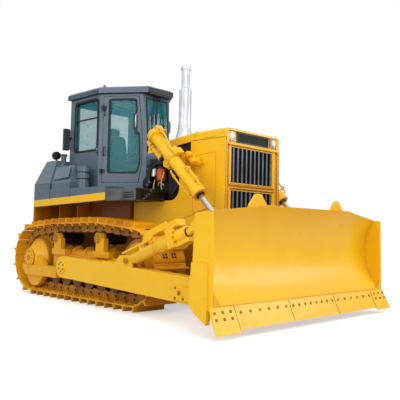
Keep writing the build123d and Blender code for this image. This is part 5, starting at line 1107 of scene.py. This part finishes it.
def engine_bay():
    """Filters, hoses, pipes, belt cover, block ribs and brackets between the side covers."""
    dark, hose, white, orange, line, bright, panel = shapes(7)
    for side in SIDES:
        out = side.out
        white.turned(((0, 40), (10, 52), (150, 52), (160, 46)), side(1125, 500, 1935), UP, 32)
        bright.disc(side(1125, 500, 2085), UP, 56, 22, 32)
        orange.turned(((0, 50), (20, 70), (170, 70), (200, 45)), side(1255, 478, 1868), UP, 32)
        dark.disc(side(1255, 478, 2060), UP, 74, 20, 32)
        for shape, runs in ((line, BAY_LINES), (hose, BAY_HOSES)):
            for points, r, sides, rounds in runs:
                shape.tube([side(*point) for point in points], r, sides, rounds)
        for x, z in ((1030, 1810), (1075, 1855)):
            bright.disc(side(x, 545, z), (0.5, 0, 1), 34, 14, 20)
        panel.slab(BELT_COVER, side(0, 470, 0), AHEAD, UP, out * 12)
        for x, z in COVER_BOLTS:
            dark.bolt(side(x, 483, z), out, 12, 10)
        for z in range(1620, 2117, 62):
            dark.box(side(780, 300, z), side(1700, 330, z + 20))
        for x in (820, 1010, 1200, 1390):
            dark.box(side(x, 305, 1700), side(x + 120, 400, 2150))
            dark.disc(side(x + 60, 400, 2080), out, 30, 30, 18)
            bright.bolt(side(x + 60, 430, 2080), out, 14, 12)
        dark.turned(((0, 100), (50, 100), (60, 80)), side(900, 420, 1850), out, 32)
        dark.disc(side(1560, 420, 2140), AHEAD, 75, 220, 28)
        for x in (770, 840, 930):
            bright.disc(side(x, 545, 1712), AHEAD, 18, 12)
    panel.box((1500, -545, 2268), (1990, 545, 2396))
    dark.made("engine_parts", BLACK, slot="engine_black", bevel=2)
    hose.made("engine_hoses", HOSE)
    white.made("engine_filters", STEEL)
    orange.made("engine_oil_filters", ORANGE)
    line.made("engine_lines", LINE_YELLOW)
    bright.made("engine_clamps", STEEL)
    panel.made("engine_panel", CORE_BLACK)


TANK_Y = 1130
CREASE_Y = 1130.8
STEP_X = 1455
TANK_TOP = ((-905, 985, 2135), (-420, 985, 2165), (-262, 1126, 1945), (-790, 1126, 1915))
FRAME_HOSES = ((1690, 22), (1650, 16), (1615, 20), (1580, 13))
RIVETS = ((1630, range(-1330, -880, 62)), (1640, range(-800, -260, 60)))


def tanks():
    """Seams, lids, rivets, caps, rear lamps on their stalks, step treads, and hoses before the step."""
    seam, black, grey, bright, glossy = shapes(5)
    for side in SIDES:
        out = side.out
        black.box(side(STEP_X, 596, 1552), side(STEP_X + 4, 1120, 1718))
        for k, (z, r) in enumerate(FRAME_HOSES):
            black.tube([side(1470, 620, z), side(1476, 800, z - 10 + 8 * k), side(1472, 1010, z)], r, 12, 2)
            bright.rod(side(1472, 860 + 40 * k, z - 6), side(1472, 885 + 40 * k, z - 6), r * 1.25)
        for x in (-848, -231):
            seam.bead([side(x, CREASE_Y, 1610), side(x, CREASE_Y, 1860)], 3)
        seam.bead([side(-1370, CREASE_Y, 1873), side(-848, CREASE_Y, 1873)], 2)
        top = [side(*point) for point in TANK_TOP]
        normal = (top[1] - top[0]).cross(top[3] - top[0]).normalized() * side.sign
        inner = [point.lerp(sum(top, Vector()) / 4, 0.10) for point in top]
        glossy.skin([[point + normal * high for point in inner] for high in (1, 6)])
        for z, row in RIVETS:
            for x in row:
                bright.turned(((0, 6), (4, 4)), side(x, TANK_Y, z), out, 8)
        for x in range(760, 1440, 74):
            bright.turned(((0, 7), (5, 5)), side(x, TANK_Y, 1706 - (STEP_X - x) * 0.062), out, 8)
        for z in (1592, 1624, 1656):
            black.rod(side(STEP_X - 262, TANK_Y, z), side(STEP_X - 38, TANK_Y, z), 6, None, 8)
        for x in range(790, 1430, 40):
            grey.box(side(x, 900, 1719), side(x + 14, 1100, 1726))
        for z in (2040, 1930):
            black.turned(((0, 104), (14, 104), (18, 98)), side(-235, 890, z), UP, 40)
        glossy.turned(((0, 94), (15, 88), (30, 50)), side(-235, 890, 2130), UP, 40)
        lamp = side(-1133, 860, 2395)
        black.turned(((-40, 45), (-34, 70), (30, 74), (36, 70)), lamp, -AHEAD, 32)
        bright.turned(((0, 62), (3, 60)), lamp - AHEAD * 37, -AHEAD, 32)
        black.bead([side(-1120, 860, 2330), side(-1120, 860, 2250)], 14, 12)
        for x in (-840, -260, -540):
            black.disc(side(x, TANK_Y, 1640), out, 7, 3, 8)
    black.turned(((0, 62), (18, 62), (24, 50)), (-985, -800, 2390), UP, 28)
    seam.made("tank_seams", BLACK)
    black.made("tank_fittings", BLACK, bevel=1)
    grey.made("step_treads", STEP_GREY, bevel=2)
    bright.made("tank_rivets", CAB_GREY)
    glossy.made("tank_panels", CAB_GREY, bevel=2)


def rear():
    """Drawbar pin, rear and hull bolts, and the louvred plates on the rear of the tanks."""
    bolts, dark, plate = shapes(3)
    (pin_x, _, low), (face_x, _, _) = corners("drawbar")
    pin_x += 80
    dark.rod((pin_x, 0, low - 20), (pin_x, 0, low + 300), 26, None, 24)
    dark.turned(((0, 44), (18, 44), (26, 30)), (pin_x, 0, low + 290), UP, 24)
    for y in (-280, -200, 200, 280):
        for z in (520, 700, 880, 1000):
            bolts.bolt((face_x - 32, y, z), -AHEAD, 18, 14)
    rear_x = corners("fuel_tank")[0].x
    for y in range(-900, 901, 300):
        bolts.bolt((rear_x, y, 1660), -AHEAD, 12, 10)
    for side in SIDES:
        outline = rounded(rectangle(-180, 180, -110, 110), 20)
        plate.slab(outline, side(rear_x, 620, 1800), LEFT, UP, AHEAD * -8)
        for z in range(1730, 1866, 45):
            dark.box(side(rear_x - 14, 480, z), side(rear_x - 6, 760, z + 15))
        for x0, x1 in ((-1340, -930), (-895, -365), (-330, 730)):
            for x in (x0 + 40, (x0 + x1) / 2, x1 - 40):
                bolts.bolt(side(x, 640, 1215), side.out, 13, 11)
    bolts.made("hull_bolts", BOLT_PAINTED_SHADE)
    dark.made("rear_fittings", BLACK, bevel=2)
    plate.made("rear_plates", CAB_GREY, bevel=2)


PIECES = (tracks, undercarriage, blade, braces, doors, cab, seat, cab_inside, front, sheet_metal, exhaust,
          lift_cylinders, yokes, engine_bay, tanks, rear)


# ---- Floor, light and camera, in metres and degrees ----
EYE = Vector((6.775, -6.167, 1.142))
TURN, RISE, ROLL = 44.99, 3.01, 1.32
LENS_LENGTH, SENSOR = 51.516, 36.0
FLOOR_HALF = 60.0
SKY_STRENGTH = 0.80
# Each area light: name, place, what it looks at, size and power.
LIGHTS = (("key", (7.0, -4.0, 7.0), (0.5, 0, 1.0), (5, 5), 290),
          ("side", (1.0, -9.0, 4.0), (0, 0, 1.2), (5, 4), 160),
          ("front", (7.5, 6.0, 4.5), (2.0, 0, 0.8), (5, 3), 176))


def camera():
    """A low view from the right front corner, tipped a little."""
    turn, rise, roll = radians(TURN), radians(RISE), radians(ROLL)
    ahead = Vector((-sin(turn) * cos(rise), cos(turn) * cos(rise), sin(rise)))
    right = Vector((cos(turn), sin(turn), 0.0))
    up = right.cross(ahead)
    data = bpy.data.cameras.new("camera")
    data.lens = LENS_LENGTH
    data.sensor_width = SENSOR
    made = linked("camera", data)
    axes = (cos(roll) * right + sin(roll) * up, cos(roll) * up - sin(roll) * right, -ahead)
    made.matrix_world = Matrix.Translation(EYE) @ Matrix(axes).transposed().to_4x4()
    bpy.context.scene.camera = made


def area_light(name, place, aim, size, power):
    """A white rectangular light that faces its aim."""
    data = bpy.data.lights.new(name, "AREA")
    data.shape = "RECTANGLE"
    data.size, data.size_y = size
    data.energy = power
    made = linked(name, data)
    made.location = place
    made.rotation_euler = (Vector(aim) - Vector(place)).to_track_quat("-Z", "Y").to_euler()


def white_floor():
    """A white floor that keeps the shadow."""
    floor = Surface("floor_white", Roughness=0.95, Specular_IOR_Level=0.0)
    floor.colour(floor.mix(floor.noise(0.4), rgb(0.84, 0.84, 0.84), rgb(0.82, 0.82, 0.82)))
    floor.shader.inputs["Emission Color"].default_value = (0.5, 0.5, 0.5, 1)
    seen = floor.node("ShaderNodeLightPath").outputs["Is Camera Ray"]
    floor.tree.links.new(seen, floor.shader.inputs["Emission Strength"])
    data = bpy.data.meshes.new("floor")
    ends = (-FLOOR_HALF, FLOOR_HALF)
    data.from_pydata([(x, y, 0) for x in ends for y in ends], [], [(0, 2, 3, 1)])
    data.materials.append(floor.material)
    linked("floor", data)


def sky():
    """A white backdrop for the lens, and a grey-white sky for the light that is brighter above."""
    world = bpy.data.worlds.new("world")
    world.use_nodes = True
    tree = world.node_tree
    light = tree.nodes["Background"]
    light.inputs["Strength"].default_value = SKY_STRENGTH
    height = tree.nodes.new("ShaderNodeSeparateXYZ")
    tree.links.new(tree.nodes.new("ShaderNodeTexCoord").outputs["Generated"], height.inputs[0])
    tone = tree.nodes.new("ShaderNodeMapRange")
    for socket, value in (("From Min", 0.0), ("From Max", 0.9), ("To Min", 0.45), ("To Max", 1.25)):
        tone.inputs[socket].default_value = value
    seen = tree.nodes.new("ShaderNodeBackground")
    seen.inputs["Color"].default_value = (1, 1, 1, 1)
    path = tree.nodes.new("ShaderNodeLightPath")
    switch = tree.nodes.new("ShaderNodeMixShader")
    for output, target in (
            (height.outputs["Z"], tone.inputs["Value"]), (tone.outputs[0], light.inputs["Color"]),
            (path.outputs["Is Camera Ray"], switch.inputs[0]), (light.outputs[0], switch.inputs[1]),
            (seen.outputs[0], switch.inputs[2]),
            (switch.outputs[0], tree.nodes["World Output"].inputs["Surface"])):
        tree.links.new(output, target)
    bpy.context.scene.world = world


dress_cad()
for build in PIECES:
    build()
camera()
white_floor()
sky()
for light in LIGHTS:
    area_light(*light)
bpy.context.scene.view_settings.view_transform = "Standard"
